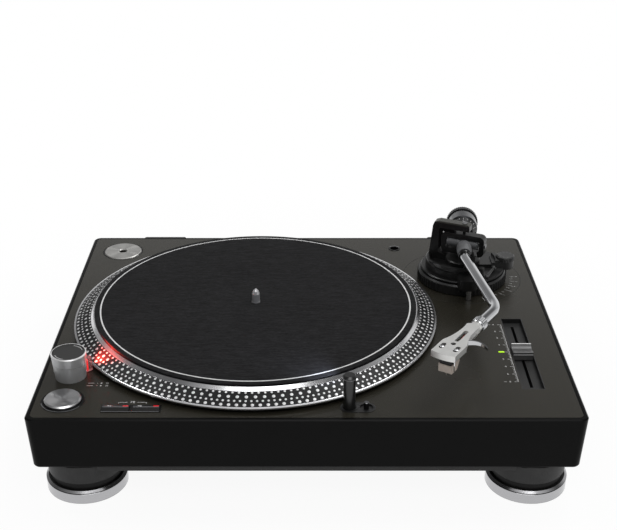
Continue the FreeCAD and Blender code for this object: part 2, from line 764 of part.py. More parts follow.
def top_panel():
    panel = plinth_block(RIM_WIDTH + PANEL_GAP, -PANEL_THICKNESS, 0.0, PLINTH_CORNER - 1)
    low = -PANEL_THICKNESS - 1
    cuts = [
        disc(MOTOR_OPENING_RADIUS, low, 1, PLATTER),
        disc(ADAPTER_RADIUS + CUP_CLEARANCE + CUP_WALL, low, 1, (ADAPTER_X, ADAPTER_Y)),
        disc(START_BEZEL_RADIUS - BEZEL_LAP, low, 1, (START_X, START_Y)),
        centred_block((KEY_BEZEL_X, KEY_BEZEL_Y), KEY_BEZEL_WIDTH - 2 * BEZEL_LAP,
                      KEY_BEZEL_DEPTH - 2 * KEY_BEZEL_LAP, low, 1),
        disc(DIAL_STEM_RADIUS + BEZEL_LAP, low, 1, (TOWER_X, TOWER_Y)),
        disc(LAMP_RADIUS + LAMP_WALL + 0.1, low, 1, (LAMP_X, LAMP_Y)),
        disc(LAMP_RECESS_RADIUS + LAMP_RECESS_WALL + 0.1, low, 1, (LAMP_BUTTON_X, LAMP_Y)),
        disc(SOCKET_RADIUS - BEZEL_LAP, low, 1, (SOCKET_X, SOCKET_Y)),
        centred_block((FADER_X, FADER_Y), FADER_WIDTH, FADER_LENGTH, low, 1),
        disc(PILLAR_RADIUS, low, 1, ARM),
        disc(SCALE_RADIUS, -SCALE_THICKNESS, 1, ARM),
        disc(GUIDE_RADIUS + GUIDE_GAP, low, 1, (GUIDE_X, GUIDE_Y)),
    ]
    return cut_all(panel, cuts)


def bottom_cover():
    """Flat cover in the plinth with a shallow pan below it, cut away round the feet."""
    under = -PLINTH_HEIGHT - PAN_DEPTH
    cover = plinth_block(SHELL_INSET + PANEL_GAP, -PLINTH_HEIGHT, COVER_TOP, PLINTH_CORNER - 1)
    cover = cover.fuse(pan_block(0.0, PAN_FRONT, under, -PLINTH_HEIGHT))
    cover = cover.cut(pan_block(COVER_THICKNESS, DISH_INSET, DISH_FLOOR, COVER_TOP + 1))
    nuts = [disc(FOOT_BOLT_RADIUS + FOOT_NUT_WALL, COVER_TOP - 0.5, COVER_TOP + FOOT_NUT_HEIGHT, place)
            for place in FEET.values()]
    cover = fuse_all([cover] + nuts)
    holes = [disc(SCREW_RADIUS, under - 1, COVER_TOP + 1, place) for place in boss_places()]
    holes += [disc(SCREW_HEAD_RADIUS + 0.5, under - 1, -PLINTH_HEIGHT, place) for place in boss_places()]
    holes += [disc(FOOT_BOLT_RADIUS + RUNNING, -PLINTH_HEIGHT - 1, COVER_TOP + FOOT_NUT_HEIGHT + 1, place)
              for place in FEET.values()]
    for index in range(VENT_COUNT):
        x = (index - (VENT_COUNT - 1) / 2) * VENT_PITCH - PLINTH_WIDTH / 6
        holes.append(centred_block((x, PLINTH_DEPTH * 0.3), VENT_WIDTH, VENT_LENGTH, under - 1, 0.0))
    return cut_all(cover, holes)


def pan_block(wall, end_inset, low, high):
    """Block between the feet, less a round clearing at each foot, drawn in by a wall."""
    half = PLINTH_WIDTH / 2 - PAN_SIDE - wall
    pan = rounded_block(-half, half, end_inset, PLINTH_DEPTH - end_inset, PAN_CORNER, low, high)
    clearing = FOOT_RADIUS + PAN_FOOT_GAP + wall
    return cut_all(pan, [disc(clearing, low - 1, high + 1, place) for place in FEET.values()])


def cover_screws():
    head_low = -PLINTH_HEIGHT - SCREW_HEAD_HEIGHT
    screws = []
    for place in boss_places():
        head = turned([(0, head_low), (SCREW_HEAD_RADIUS * 0.6, head_low),
                       (SCREW_HEAD_RADIUS, head_low + SCREW_HEAD_HEIGHT * 0.5),
                       (SCREW_HEAD_RADIUS, -PLINTH_HEIGHT), (SCREW_RADIUS, -PLINTH_HEIGHT),
                       (SCREW_RADIUS, -PLINTH_HEIGHT + SCREW_LENGTH), (0, -PLINTH_HEIGHT + SCREW_LENGTH)],
                      place)
        screws.append(head)
    return Part.makeCompound(screws)


def foot(place):
    """Rubber body over a chromed band, with a shaded neck between them."""
    floor = -PLINTH_HEIGHT - FOOT_HEIGHT
    top = -PLINTH_HEIGHT - FOOT_GAP
    band_top = floor + FOOT_BAND_HEIGHT
    bevel_top = band_top + FOOT_BEVEL
    body_low = bevel_top + FOOT_NECK_HEIGHT
    outer = FOOT_BAND_RADIUS
    return turned([
        (0, floor), (outer - FOOT_BAND_EDGE * 2, floor), (outer - FOOT_BAND_EDGE, floor + 0.2),
        (outer, floor + FOOT_BAND_EDGE), (outer, band_top - FOOT_GROOVE), (outer - FOOT_GROOVE, band_top),
        (outer, band_top + FOOT_GROOVE), (outer - FOOT_BEVEL, bevel_top), (FOOT_NECK_RADIUS, bevel_top),
        (FOOT_NECK_RADIUS, body_low), (FOOT_RADIUS - FOOT_EDGE, body_low),
        (FOOT_RADIUS, body_low + FOOT_EDGE),
        (FOOT_RADIUS, top - FOOT_EDGE), (FOOT_RADIUS - FOOT_EDGE, top), (FOOT_BOLT_RADIUS, top),
        (FOOT_BOLT_RADIUS, top + FOOT_BOLT_LENGTH), (0, top + FOOT_BOLT_LENGTH),
    ], place)


# Platter, spindle and motor
def platter():
    under = PLATTER_TOP - PLATTER_PLATE
    edge_radius = PLATTER_TOP_RADIUS + PLATTER_EDGE_STEP
    edge_height = PLATTER_TOP - PLATTER_EDGE_DROP
    lip_high = STROBE_FOOT_HEIGHT - LIP_DROP
    lip_low = lip_high - LIP_THICKNESS
    skirt_inner = PLATTER_RADIUS - SKIRT_WIDTH
    body = turned([
        (COLLAR_PIN_RADIUS, PLATTER_TOP), (PLATTER_TOP_RADIUS, PLATTER_TOP),
        (edge_radius, edge_height), (PLATTER_RADIUS - STROBE_FOOT_INSET, STROBE_FOOT_HEIGHT),
        (PLATTER_RADIUS, lip_high), (PLATTER_RADIUS, lip_low),
        (PLATTER_RADIUS - STROBE_FOOT_INSET, PLATTER_CLEARANCE), (skirt_inner, PLATTER_CLEARANCE),
        (skirt_inner - 2, PLATTER_CLEARANCE + 1.0), (edge_radius - 2.5, under - PLATTER_EDGE_DROP),
        (PLATTER_TOP_RADIUS - SKIRT_WIDTH, under), (HUB_RADIUS, under), (HUB_RADIUS, PLATTER_CLEARANCE),
        (SHOULDER_RADIUS, PLATTER_CLEARANCE), (SHOULDER_RADIUS, under), (COLLAR_PIN_RADIUS, under),
    ], PLATTER)
    ribs = []
    for outer in (MAGNET_OUTER_RADIUS + MAGNET_RIB_GAP + PLATTER_RIB, PLATTER_TOP_RADIUS - OUTER_RIB_INSET):
        ribs.append(ring(outer, outer - PLATTER_RIB, under - PLATTER_RIB_DEPTH, under + 0.5, PLATTER))
    return fuse_all([body] + ribs)


def spindle():
    """Shaft with a shoulder under the platter, a collar through it and the record pin on top."""
    under = PLATTER_TOP - PLATTER_PLATE
    low = -BEARING_DEPTH
    cone_low = SPINDLE_TOP - SPINDLE_CONE
    shoulder_low = PLATTER_CLEARANCE - SHOULDER_DROP
    neck = SPINDLE_RADIUS - PIN_GROOVE
    return turned([
        (0, low), (SHAFT_RADIUS - SHAFT_CHAMFER, low), (SHAFT_RADIUS, low + SHAFT_CHAMFER),
        (SHAFT_RADIUS, shoulder_low), (SHOULDER_RADIUS, shoulder_low), (SHOULDER_RADIUS, under),
        (COLLAR_PIN_RADIUS, under), (COLLAR_PIN_RADIUS, COLLAR_PIN_TOP - PIN_GROOVE),
        (neck, COLLAR_PIN_TOP - PIN_GROOVE), (neck, COLLAR_PIN_TOP),
        (SPINDLE_RADIUS, COLLAR_PIN_TOP), (SPINDLE_RADIUS, cone_low),
        (SPINDLE_RADIUS * 0.72, cone_low + SPINDLE_CONE * 0.55), (SPINDLE_TIP, SPINDLE_TOP - 0.3),
        (0, SPINDLE_TOP),
    ], PLATTER)


def rotor_magnet():
    high = PLATTER_TOP - PLATTER_PLATE
    return ring(MAGNET_OUTER_RADIUS, MAGNET_INNER_RADIUS, high - MAGNET_THICKNESS, high, PLATTER)


def motor_stator():
    plate_high = -PANEL_THICKNESS
    plate_low = plate_high - STATOR_PLATE
    coil_high = PLATTER_TOP - PLATTER_PLATE - MAGNET_THICKNESS - COIL_GAP
    parts = [ring(STATOR_RADIUS, BEARING_RADIUS + PLATE_GAP, plate_low, plate_high, PLATTER)]
    for index in range(COIL_COUNT):
        angle = 2 * math.pi * index / COIL_COUNT
        centre = (PLATTER_X + COIL_CIRCLE * math.cos(angle), PLATTER_Y + COIL_CIRCLE * math.sin(angle))
        parts.append(ring(COIL_RADIUS, COIL_RADIUS * 0.35, plate_high - 0.5, coil_high, centre))
    return fuse_all(parts)


def spindle_bearing():
    flange = -PANEL_THICKNESS
    thrust = -BEARING_DEPTH - 0.1
    low = thrust - BEARING_FLOOR
    return turned([
        (0, low), (BEARING_RADIUS - 1, low), (BEARING_RADIUS, low + 1), (BEARING_RADIUS, flange),
        (SHAFT_RADIUS + PIVOT_GAP, flange), (SHAFT_RADIUS + PIVOT_GAP, thrust), (0, thrust),
    ], PLATTER)


def slipmat():
    low = PLATTER_TOP + SOFT_GAP
    return ring(MAT_RADIUS, COLLAR_PIN_RADIUS + SOFT_GAP, low, low + MAT_THICKNESS, PLATTER)


# 45 adapter and its cup
def ep_adapter():
    centre = (ADAPTER_X, ADAPTER_Y)
    low = ADAPTER_PROUD - ADAPTER_HEIGHT
    bore = SPINDLE_RADIUS + ADAPTER_BORE_GAP
    edge = ADAPTER_CHAMFER
    return turned([
        (bore, low), (ADAPTER_RADIUS - edge, low), (ADAPTER_RADIUS, low + edge),
        (ADAPTER_RADIUS, ADAPTER_PROUD - edge), (ADAPTER_RADIUS - edge, ADAPTER_PROUD),
        (bore + edge, ADAPTER_PROUD), (bore, ADAPTER_PROUD - edge),
    ], centre)


def adapter_cup():
    centre = (ADAPTER_X, ADAPTER_Y)
    inner = ADAPTER_RADIUS + CUP_CLEARANCE
    outer = inner + CUP_WALL
    floor_high = ADAPTER_PROUD - ADAPTER_HEIGHT - CUP_FLOOR_GAP
    return turned([
        (0, floor_high - CUP_WALL), (outer, floor_high - CUP_WALL), (outer, -0.4), (outer - 0.4, 0.0),
        (inner, 0.0), (inner, floor_high), (0, floor_high),
    ], centre)


# Start button and speed keys
def start_button():
    low = START_TOP - START_HEIGHT
    stem = START_RADIUS - START_STEP
    return turned([
        (0, low), (stem, low), (stem, START_TOP - START_RIM), (START_RADIUS, START_TOP - START_RIM),
        (START_RADIUS, START_TOP - START_CHAMFER), (START_RADIUS - START_CHAMFER, START_TOP), (0, START_TOP),
    ], (START_X, START_Y))


def start_bezel():
    inner = START_RADIUS + BUTTON_CLEARANCE
    floor = START_TOP - START_HEIGHT - START_TRAVEL - STOP_GAP
    barrel = START_BEZEL_RADIUS - BEZEL_LAP
    return turned([
        (0, floor - BEZEL_FLOOR), (barrel, floor - BEZEL_FLOOR), (barrel, 0.0),
        (START_BEZEL_RADIUS, 0.0), (START_BEZEL_RADIUS - 0.3, BEZEL_PROUD),
        (inner + 0.6, BEZEL_PROUD), (inner, BEZEL_PROUD - 0.6), (inner, floor), (0, floor),
    ], (START_X, START_Y))


def key_centre(side):
    return (KEY_BEZEL_X + side * KEY_SPACING / 2, KEY_BEZEL_Y)


def speed_key(side):
    """A key whose top rises towards the front edge, over a guided stem."""
    x, y = key_centre(side)
    back = y + KEY_DEPTH / 2
    front = y - KEY_DEPTH / 2
    left = x - KEY_WIDTH / 2
    profile = [
        vec(left, back, -KEY_SKIRT), vec(left, back, KEY_TOP - KEY_SLOPE),
        vec(left, front + KEY_LIP, KEY_TOP), vec(left, front + KEY_LIP - 0.6, KEY_TOP - 0.15),
        vec(left, front, 0.2), vec(left, front, -KEY_SKIRT),
    ]
    cap = polygon_face(profile).extrude(vec(KEY_WIDTH, 0, 0))
    stem = centred_block((x, y), KEY_WIDTH * 0.4, KEY_DEPTH * 0.5, -KEY_SKIRT - KEY_STEM, 0.5 - KEY_SKIRT)
    return fuse_all([cap, stem])


def key_bezel():
    centre = (KEY_BEZEL_X, KEY_BEZEL_Y)
    floor = -KEY_SKIRT - KEY_TRAVEL - STOP_GAP
    half_width = KEY_BEZEL_WIDTH / 2
    half_depth = KEY_BEZEL_DEPTH / 2
    rim = rounded_block(centre[0] - half_width, centre[0] + half_width,
                        centre[1] - half_depth, centre[1] + half_depth, 0.8, 0.0, BEZEL_PROUD)
    body = centred_block(centre, KEY_BEZEL_WIDTH - 2 * BEZEL_LAP, KEY_BEZEL_DEPTH - 2 * KEY_BEZEL_LAP,
                         floor - BEZEL_FLOOR, 0.1)
    bezel = fuse_all([rim, body])
    for side in (-1, 1):
        bezel = bezel.cut(centred_block(key_centre(side), KEY_WIDTH + 2 * BUTTON_CLEARANCE,
                                        KEY_DEPTH + 2 * BUTTON_CLEARANCE, floor, BEZEL_PROUD + 1))
        bezel = bezel.cut(centred_block(key_centre(side), KEY_WIDTH * 0.4 + 2 * BUTTON_CLEARANCE,
                                        KEY_DEPTH * 0.5 + 2 * BUTTON_CLEARANCE, floor - 4, BEZEL_PROUD))
    return bezel


# Power dial on the strobe tower
def tower_to_platter():
    away = vec(PLATTER_X - TOWER_X, PLATTER_Y - TOWER_Y)
    return away.normalize()


def lens_block(reach, width, low, high):
    """Upright block that stands out of the tower towards the platter."""
    away = tower_to_platter()
    side = vec(-away.y, away.x)
    centre = vec(TOWER_X, TOWER_Y, low)
    inner = TOWER_FOOT_RADIUS - LENS_ROOT
    corners = [
        centre + away * inner + side * (-width / 2), centre + away * reach + side * (-width * 0.32),
        centre + away * reach + side * (width * 0.32), centre + away * inner + side * (width / 2),
    ]
    return polygon_face(corners).extrude(vec(0, 0, high - low))


def strobe_tower():
    neck = TOWER_HEIGHT - DIAL_GAP
    body = turned([
        (DIAL_STEM_RADIUS + RUNNING, 0.0), (TOWER_FOOT_RADIUS, 0.0), (TOWER_NECK_RADIUS, neck),
        (DIAL_STEM_RADIUS + RUNNING, neck),
    ], (TOWER_X, TOWER_Y))
    return body.cut(strobe_lens())


def strobe_lens():
    return lens_block(TOWER_GAP + DIAL_TOP_RADIUS - LENS_GAP, LENS_WIDTH, LENS_LIFT, LENS_LIFT + LENS_HEIGHT)


def power_dial():
    top = TOWER_HEIGHT + DIAL_HEIGHT
    dial = turned([
        (0, -DIAL_STEM_LENGTH), (DIAL_STEM_RADIUS, -DIAL_STEM_LENGTH), (DIAL_STEM_RADIUS, TOWER_HEIGHT),
        (TOWER_NECK_RADIUS, TOWER_HEIGHT), (DIAL_TOP_RADIUS, top - DIAL_EDGE),
        (DIAL_TOP_RADIUS - 0.6, top), (DIAL_TOP_RADIUS - DIAL_RIM, top),
        (DIAL_TOP_RADIUS - DIAL_RIM - 0.4, top - DIAL_RECESS), (0, top - DIAL_RECESS),
    ], (TOWER_X, TOWER_Y))
    groove_angle = math.radians(NOTCH_DIRECTION)
    out = vec(math.cos(groove_angle), math.sin(groove_angle))
    start = vec(TOWER_X, TOWER_Y, top + 1) + out * (DIAL_TOP_RADIUS + 0.5)
    groove = rod(start, start + vec(0, 0, -DIAL_HEIGHT + 1), NOTCH_RADIUS)
    return dial.cut(groove)


# Pop-up lamp
def popup_lamp():
    bottom = LAMP_TOP - LAMP_LENGTH
    head = LAMP_TOP - LAMP_HEAD
    body = turned([
        (0, bottom), (LAMP_RADIUS, bottom), (LAMP_RADIUS, head), (LAMP_HEAD_RADIUS, head + 0.8),
        (LAMP_HEAD_RADIUS, LAMP_TOP - 1.6), (LAMP_RADIUS, LAMP_TOP - 0.8), (LAMP_RADIUS - 0.8, LAMP_TOP),
        (0, LAMP_TOP),
    ], (LAMP_X, LAMP_Y))
    window = centred_block((LAMP_X, LAMP_Y + LAMP_RADIUS), LAMP_WINDOW_WIDTH, 3.2,
                           head - 1.4 - LAMP_WINDOW_HEIGHT, head - 1.4)
    return body.cut(window)


def lamp_plate():
    """Oblong plate with the lamp's sleeve and a recessed seat for the button."""
    half_depth = LAMP_PLATE_DEPTH / 2
    left = LAMP_X - half_depth
    lamp = (LAMP_X, LAMP_Y)
    button = (LAMP_BUTTON_X, LAMP_Y)
    recess_floor = -LAMP_RECESS_DEPTH
    plate = rounded_block(left, left + LAMP_PLATE_LENGTH, LAMP_Y - half_depth, LAMP_Y + half_depth,
                          half_depth - 0.05, 0.0, LAMP_PLATE_PROUD)
    parts = [plate, disc(LAMP_RADIUS + LAMP_WALL, -LAMP_SLEEVE, LAMP_COLLAR, lamp),
             disc(LAMP_RECESS_RADIUS + LAMP_RECESS_WALL, -LAMP_BUTTON_SLEEVE, LAMP_PLATE_PROUD, button)]
    holes = [disc(LAMP_RADIUS + RUNNING, -LAMP_SLEEVE - 1, LAMP_COLLAR + 1, lamp),
             disc(LAMP_BUTTON_RADIUS + RUNNING, -LAMP_BUTTON_SLEEVE - 1, 1, button),
             disc(LAMP_RECESS_RADIUS, recess_floor, 1, button),
             turned([(LAMP_RADIUS, LAMP_COLLAR + 0.1), (LAMP_RADIUS, 0.1),
                     (LAMP_HEAD_RADIUS + 0.5, LAMP_COLLAR + 0.1)], lamp)]
    return cut_all(fuse_all(parts), holes)


def lamp_button():
    low = LAMP_BUTTON_TOP - LAMP_BUTTON_LENGTH
    return turned([
        (0, low), (LAMP_BUTTON_RADIUS, low), (LAMP_BUTTON_RADIUS, LAMP_BUTTON_TOP - 0.5),
        (LAMP_BUTTON_RADIUS - 0.5, LAMP_BUTTON_TOP), (0, LAMP_BUTTON_TOP),
    ], (LAMP_BUTTON_X, LAMP_Y))


def headshell_socket():
    return turned([
        (0, -SOCKET_DEPTH - SOCKET_FLOOR), (SOCKET_RADIUS - 1.2, -SOCKET_DEPTH - SOCKET_FLOOR),
        (SOCKET_RADIUS - 1.2, 0.0),
        (SOCKET_RADIUS, 0.0), (SOCKET_RADIUS - 0.4, 0.5), (SOCKET_BORE + 0.4, 0.5), (SOCKET_BORE, 0.1),
        (SOCKET_BORE, -SOCKET_DEPTH), (0, -SOCKET_DEPTH),
    ], (SOCKET_X, SOCKET_Y))


# Tempo fader
def pitch_well():
    centre = (FADER_X, FADER_Y)
    floor_low = -FADER_DEPTH - FADER_WALL
    tray = centred_block(centre, FADER_WIDTH, FADER_LENGTH, floor_low, 0.0)
    hollow = centred_block(centre, FADER_WIDTH - 2 * FADER_WALL, FADER_LENGTH - 2 * FADER_WALL,
                           -FADER_DEPTH, 1.0)
    slot_length = 2 * (FADER_TRAVEL + STEM_END_GAP) + STEM_LENGTH
    slot = centred_block(centre, FADER_SLOT_WIDTH, slot_length, floor_low - 1, 0.0)
    return tray.cut(hollow).cut(slot)


def fader_housing():
    centre = (FADER_X, FADER_Y)
    high = -FADER_DEPTH - FADER_WALL
    slot_length = 2 * (FADER_TRAVEL + STEM_END_GAP) + STEM_LENGTH
    low = high - HOUSING_DEPTH
    body = centred_block(centre, FADER_WIDTH * 0.7, slot_length + 4 * HOUSING_SKIN, low, high)
    slot = centred_block(centre, FADER_SLOT_WIDTH, slot_length, low + HOUSING_SKIN, high + 1)
    return body.cut(slot)


def pitch_knob():
    low = -FADER_DEPTH + KNOB_FLOAT
    back = FADER_Y + KNOB_LENGTH / 2
    front = FADER_Y - KNOB_LENGTH / 2
    left = FADER_X - KNOB_WIDTH / 2
    middle = vec(left, FADER_Y, KNOB_TOP - KNOB_VALLEY)
    lip = front + KNOB_EDGE
    edges = [
        Part.LineSegment(vec(left, front, low), vec(left, back, low)),
        Part.LineSegment(vec(left, back, low), vec(left, back - 0.4, KNOB_TOP - 0.4)),
        Part.LineSegment(vec(left, back - 0.4, KNOB_TOP - 0.4), vec(left, back - 1.0, KNOB_TOP)),
        Part.LineSegment(vec(left, back - 1.0, KNOB_TOP), vec(left, back - KNOB_EDGE, KNOB_TOP)),
        Part.Arc(vec(left, back - KNOB_EDGE, KNOB_TOP), middle, vec(left, lip, KNOB_TOP - 1.0)),
        Part.LineSegment(vec(left, lip, KNOB_TOP - 1.0), vec(left, front + 1.0, KNOB_TOP - 1.6)),
        Part.LineSegment(vec(left, front + 1.0, KNOB_TOP - 1.6), vec(left, front, low)),
    ]
    wire = Part.Wire([edge.toShape() for edge in edges])
    knob = Part.Face(wire).extrude(vec(KNOB_WIDTH, 0, 0))
    stem_low = -FADER_DEPTH - FADER_WALL - HOUSING_DEPTH + 2 * HOUSING_SKIN
    stem = centred_block((FADER_X, FADER_Y), STEM_THICKNESS, STEM_LENGTH, stem_low, low + 0.5)
    return fuse_all([knob, stem])


# Tonearm base
def arm_scale_plate():
    plate = ring(SCALE_RADIUS - 0.15, PILLAR_RADIUS + PLATE_GAP, -SCALE_THICKNESS, 0.0, ARM)
    return plate.cut(disc(GUIDE_RADIUS + GUIDE_GAP, -2, 1, (GUIDE_X, GUIDE_Y)))


def arm_pillar():
    flange_high = -PANEL_THICKNESS
    flange_low = flange_high - PILLAR_FLANGE_HEIGHT
    bore = PILLAR_BORE + RUNNING
    return turned([
        (bore, -PILLAR_DEPTH), (PILLAR_RADIUS - 2, -PILLAR_DEPTH), (PILLAR_RADIUS - 2, flange_low),
        (PILLAR_RADIUS + PILLAR_FLANGE, flange_low), (PILLAR_RADIUS + PILLAR_FLANGE, flange_high),
        (PILLAR_RADIUS, flange_high), (PILLAR_RADIUS, PILLAR_TOP - 1), (PILLAR_RADIUS - 1, PILLAR_TOP),
        (bore, PILLAR_TOP),
    ], ARM)


def height_ring():
    bore = PILLAR_RADIUS + RUNNING
    grip = fluted(RING_RADIUS, FLUTE_DEPTH, FLUTE_COUNT, RING_TOP - RING_LOW - RING_CROWN)
    grip.translate(vec(ARM_X, ARM_Y, RING_LOW))
    crown_low = RING_TOP - RING_CROWN
    crown = turned([
        (bore, crown_low - 1), (RING_RADIUS - RING_EDGE, crown_low - 1), (RING_RADIUS - RING_EDGE, crown_low),
        (RING_RADIUS - RING_EDGE - 1.2, RING_TOP), (bore, RING_TOP),
    ], ARM)
    return fuse_all([grip, crown]).cut(disc(bore, RING_LOW - 1, RING_TOP + 1, ARM))


def base_nose():
    """Rounded block in front of the drum that carries the guide pin and the arm rest."""
    half = NOSE_WIDTH / 2
    return rounded_block(NOSE_X - half, NOSE_X + half, NOSE_FRONT, REST_Y + REST_WIDTH,
                         half - NOSE_CORNER, BASE_LOW, DRUM_TOP)


def antiskate_bracket():
    """Flat arm at the right of the drum with a round end."""
    half = BRACKET_WIDTH / 2
    bar = block(ARM_X + DRUM_RADIUS - 2 * DRUM_WALL, ANTISKATE_X, BRACKET_Y - half, BRACKET_Y + half,
                BASE_LOW, BRACKET_TOP)
    end = disc(half, BASE_LOW, BRACKET_TOP, (ANTISKATE_X, BRACKET_Y))
    return fuse_all([bar, end])


def cue_housing():
    """Round post round the lift's piston, with the bearing of the lever's shaft beside it."""
    low = BASE_LOW + CUE_POST_GAP
    gap = CUE_POST_GAP / 2
    post = disc(CUE_HOUSING_RADIUS, low, CUE_SHAFT_HEIGHT + CUE_HOUSING_SPARE, cue_piston_place())
    start = cue_shaft_point(gap)
    bearing = rod(start, cue_shaft_point(CUE_SHAFT_LENGTH + gap), CUE_SHAFT_RADIUS + CUE_BEARING_WALL)
    seat = block(start.x - CUE_SHAFT_LENGTH - CUE_SHAFT_RADIUS, start.x - gap, start.y - CUE_SHAFT_RADIUS,
                 start.y + CUE_SHAFT_LENGTH, low, CUE_SHAFT_HEIGHT - 1.2 * CUE_SHAFT_RADIUS)
    return fuse_all([post, bearing, seat])


def lever_clearing():
    """Open quarter at the right front, where the cue lever lies on the base disc."""
    reach = BASE_DISC_RADIUS + 5
    return block(NOSE_X + NOSE_WIDTH / 2, ARM_X + reach, ARM_Y - reach, BRACKET_Y - BRACKET_WIDTH / 2,
                 BASE_LOW + BASE_DISC_THICKNESS, DRUM_TOP + 1)


def rear_clearing():
    """Gap in the drum's wall behind the pivot, where the counterweight dips."""
    reach = DRUM_RADIUS + 1
    return block(ARM_X - DRUM_RADIUS * 0.62, ARM_X + reach, ARM_Y + REAR_CLEARING, ARM_Y + reach,
                 DRUM_FLOOR, DRUM_TOP + 1)


def arm_base():
    disc_top = BASE_LOW + BASE_DISC_THICKNESS
    stem_low = BASE_SHAFT_GAP - PILLAR_DEPTH
    edge = BASE_EDGE
    body = turned([
        (BASE_BORE, stem_low), (PILLAR_BORE, stem_low), (PILLAR_BORE, BASE_LOW),
        (BASE_DISC_RADIUS - edge, BASE_LOW), (BASE_DISC_RADIUS, BASE_LOW + edge),
        (BASE_DISC_RADIUS, disc_top - edge), (BASE_DISC_RADIUS - edge, disc_top), (DRUM_RADIUS, disc_top),
        (DRUM_RADIUS, DRUM_TOP - edge), (DRUM_RADIUS - edge, DRUM_TOP),
        (DRUM_RADIUS - DRUM_WALL, DRUM_TOP), (DRUM_RADIUS - DRUM_WALL, DRUM_FLOOR), (BASE_BORE, DRUM_FLOOR),
    ], ARM)
    body = body.cut(lever_clearing()).cut(rear_clearing())
    pin = rod(vec(GUIDE_X, GUIDE_Y, -GUIDE_LENGTH), vec(GUIDE_X, GUIDE_Y, BASE_LOW + 1), GUIDE_RADIUS)
    base = fuse_all([body, base_nose(), antiskate_bracket(), cue_housing(), pin])
    holes = [
        disc(antiskate_stem() + RUNNING, BASE_LOW - 1, BRACKET_TOP + 1, (ANTISKATE_X, BRACKET_Y)),
        disc(ANTISKATE_RADIUS + ANTISKATE_GAP, BRACKET_TOP, DRUM_TOP + 1, (ANTISKATE_X, BRACKET_Y)),
        disc(CUE_PISTON_RADIUS + RUNNING, BASE_LOW + CUE_POST_GAP, DRUM_TOP + 1, cue_piston_place()),
        rod(cue_shaft_point(-1), cue_shaft_point(CUE_SHAFT_LENGTH + 1.5), CUE_SHAFT_RADIUS + RUNNING),
        frame_post_slot(),
    ]
    return cut_all(base, holes)


def frame_post_slot():
    """The foot print of the frame's post, through the drum wall."""
    inner = -FRAME_REACH + FRAME_POST
    return in_arm_plane([(-FRAME_REACH, DRUM_FLOOR), (inner, DRUM_FLOOR), (inner, DRUM_TOP + 1),
                         (-FRAME_REACH, DRUM_TOP + 1)], FRAME_DEPTH, GIMBAL_YAW)


def arm_frame():
    """C-shaped frame: a round boss with the lower pivot, a post and a beam with the upper pivot."""
    low = DRUM_FLOOR
    boss_top = low + FRAME_BOSS_HEIGHT
    inner_low = low + FRAME_FOOT
    inner_high = FRAME_TOP - FRAME_BEAM
    post_in = -FRAME_REACH + FRAME_POST
    outer_top = -FRAME_REACH + FRAME_LEAN
    edge = FRAME_EDGE
    boss_edge = edge / 2
    profile = [
        (-FRAME_REACH, low), (-FRAME_BOSS_RADIUS, low), (-FRAME_BOSS_RADIUS, inner_low - FRAME_FOOT_SLOPE),
        (post_in, inner_low), (post_in, inner_high - edge), (post_in + edge, inner_high),
        (FRAME_NOSE, inner_high), (FRAME_NOSE, FRAME_TOP - edge), (FRAME_NOSE - edge, FRAME_TOP),
        (outer_top + FRAME_SHOULDER, FRAME_TOP), (outer_top + edge, FRAME_TOP - edge),
        (outer_top, FRAME_TOP - FRAME_SHOULDER),
    ]
    frame = in_arm_plane(profile, FRAME_DEPTH, GIMBAL_YAW)
    boss = turned([(0, low), (FRAME_BOSS_RADIUS + boss_edge, low),
                   (FRAME_BOSS_RADIUS + boss_edge, boss_top - boss_edge), (FRAME_BOSS_RADIUS, boss_top),
                   (0, boss_top)], ARM)
    top_pin = disc(PIVOT_RADIUS, GIMBAL_TOP - GIMBAL_BAR + PIVOT_END, inner_high + edge, ARM)
    low_pin = disc(PIVOT_RADIUS, boss_top - edge, GIMBAL_LOW + GIMBAL_BAR - PIVOT_END, ARM)
    screw = disc(PIVOT_SCREW, FRAME_TOP - edge, FRAME_TOP + PIVOT_HEAD, ARM)
    return fuse_all([frame, boss, top_pin, low_pin, screw])


def antiskate_stem():
    return ANTISKATE_RADIUS * 0.35


def antiskate_dial():
    stem = antiskate_stem()
    rim = ANTISKATE_RADIUS - 0.5
    knob = fluted(ANTISKATE_RADIUS, 0.4, ANTISKATE_FLUTES, ANTISKATE_HEIGHT - 1.0)
    knob.translate(vec(ANTISKATE_X, BRACKET_Y, BRACKET_TOP + 0.2))
    cap = turned([
        (0, BASE_LOW), (stem, BASE_LOW), (stem, BRACKET_TOP + 0.5), (rim, BRACKET_TOP + 0.5),
        (rim, ANTISKATE_TOP - 0.8), (rim - 0.8, ANTISKATE_TOP), (0, ANTISKATE_TOP),
    ], (ANTISKATE_X, BRACKET_Y))
    return fuse_all([knob, cap])


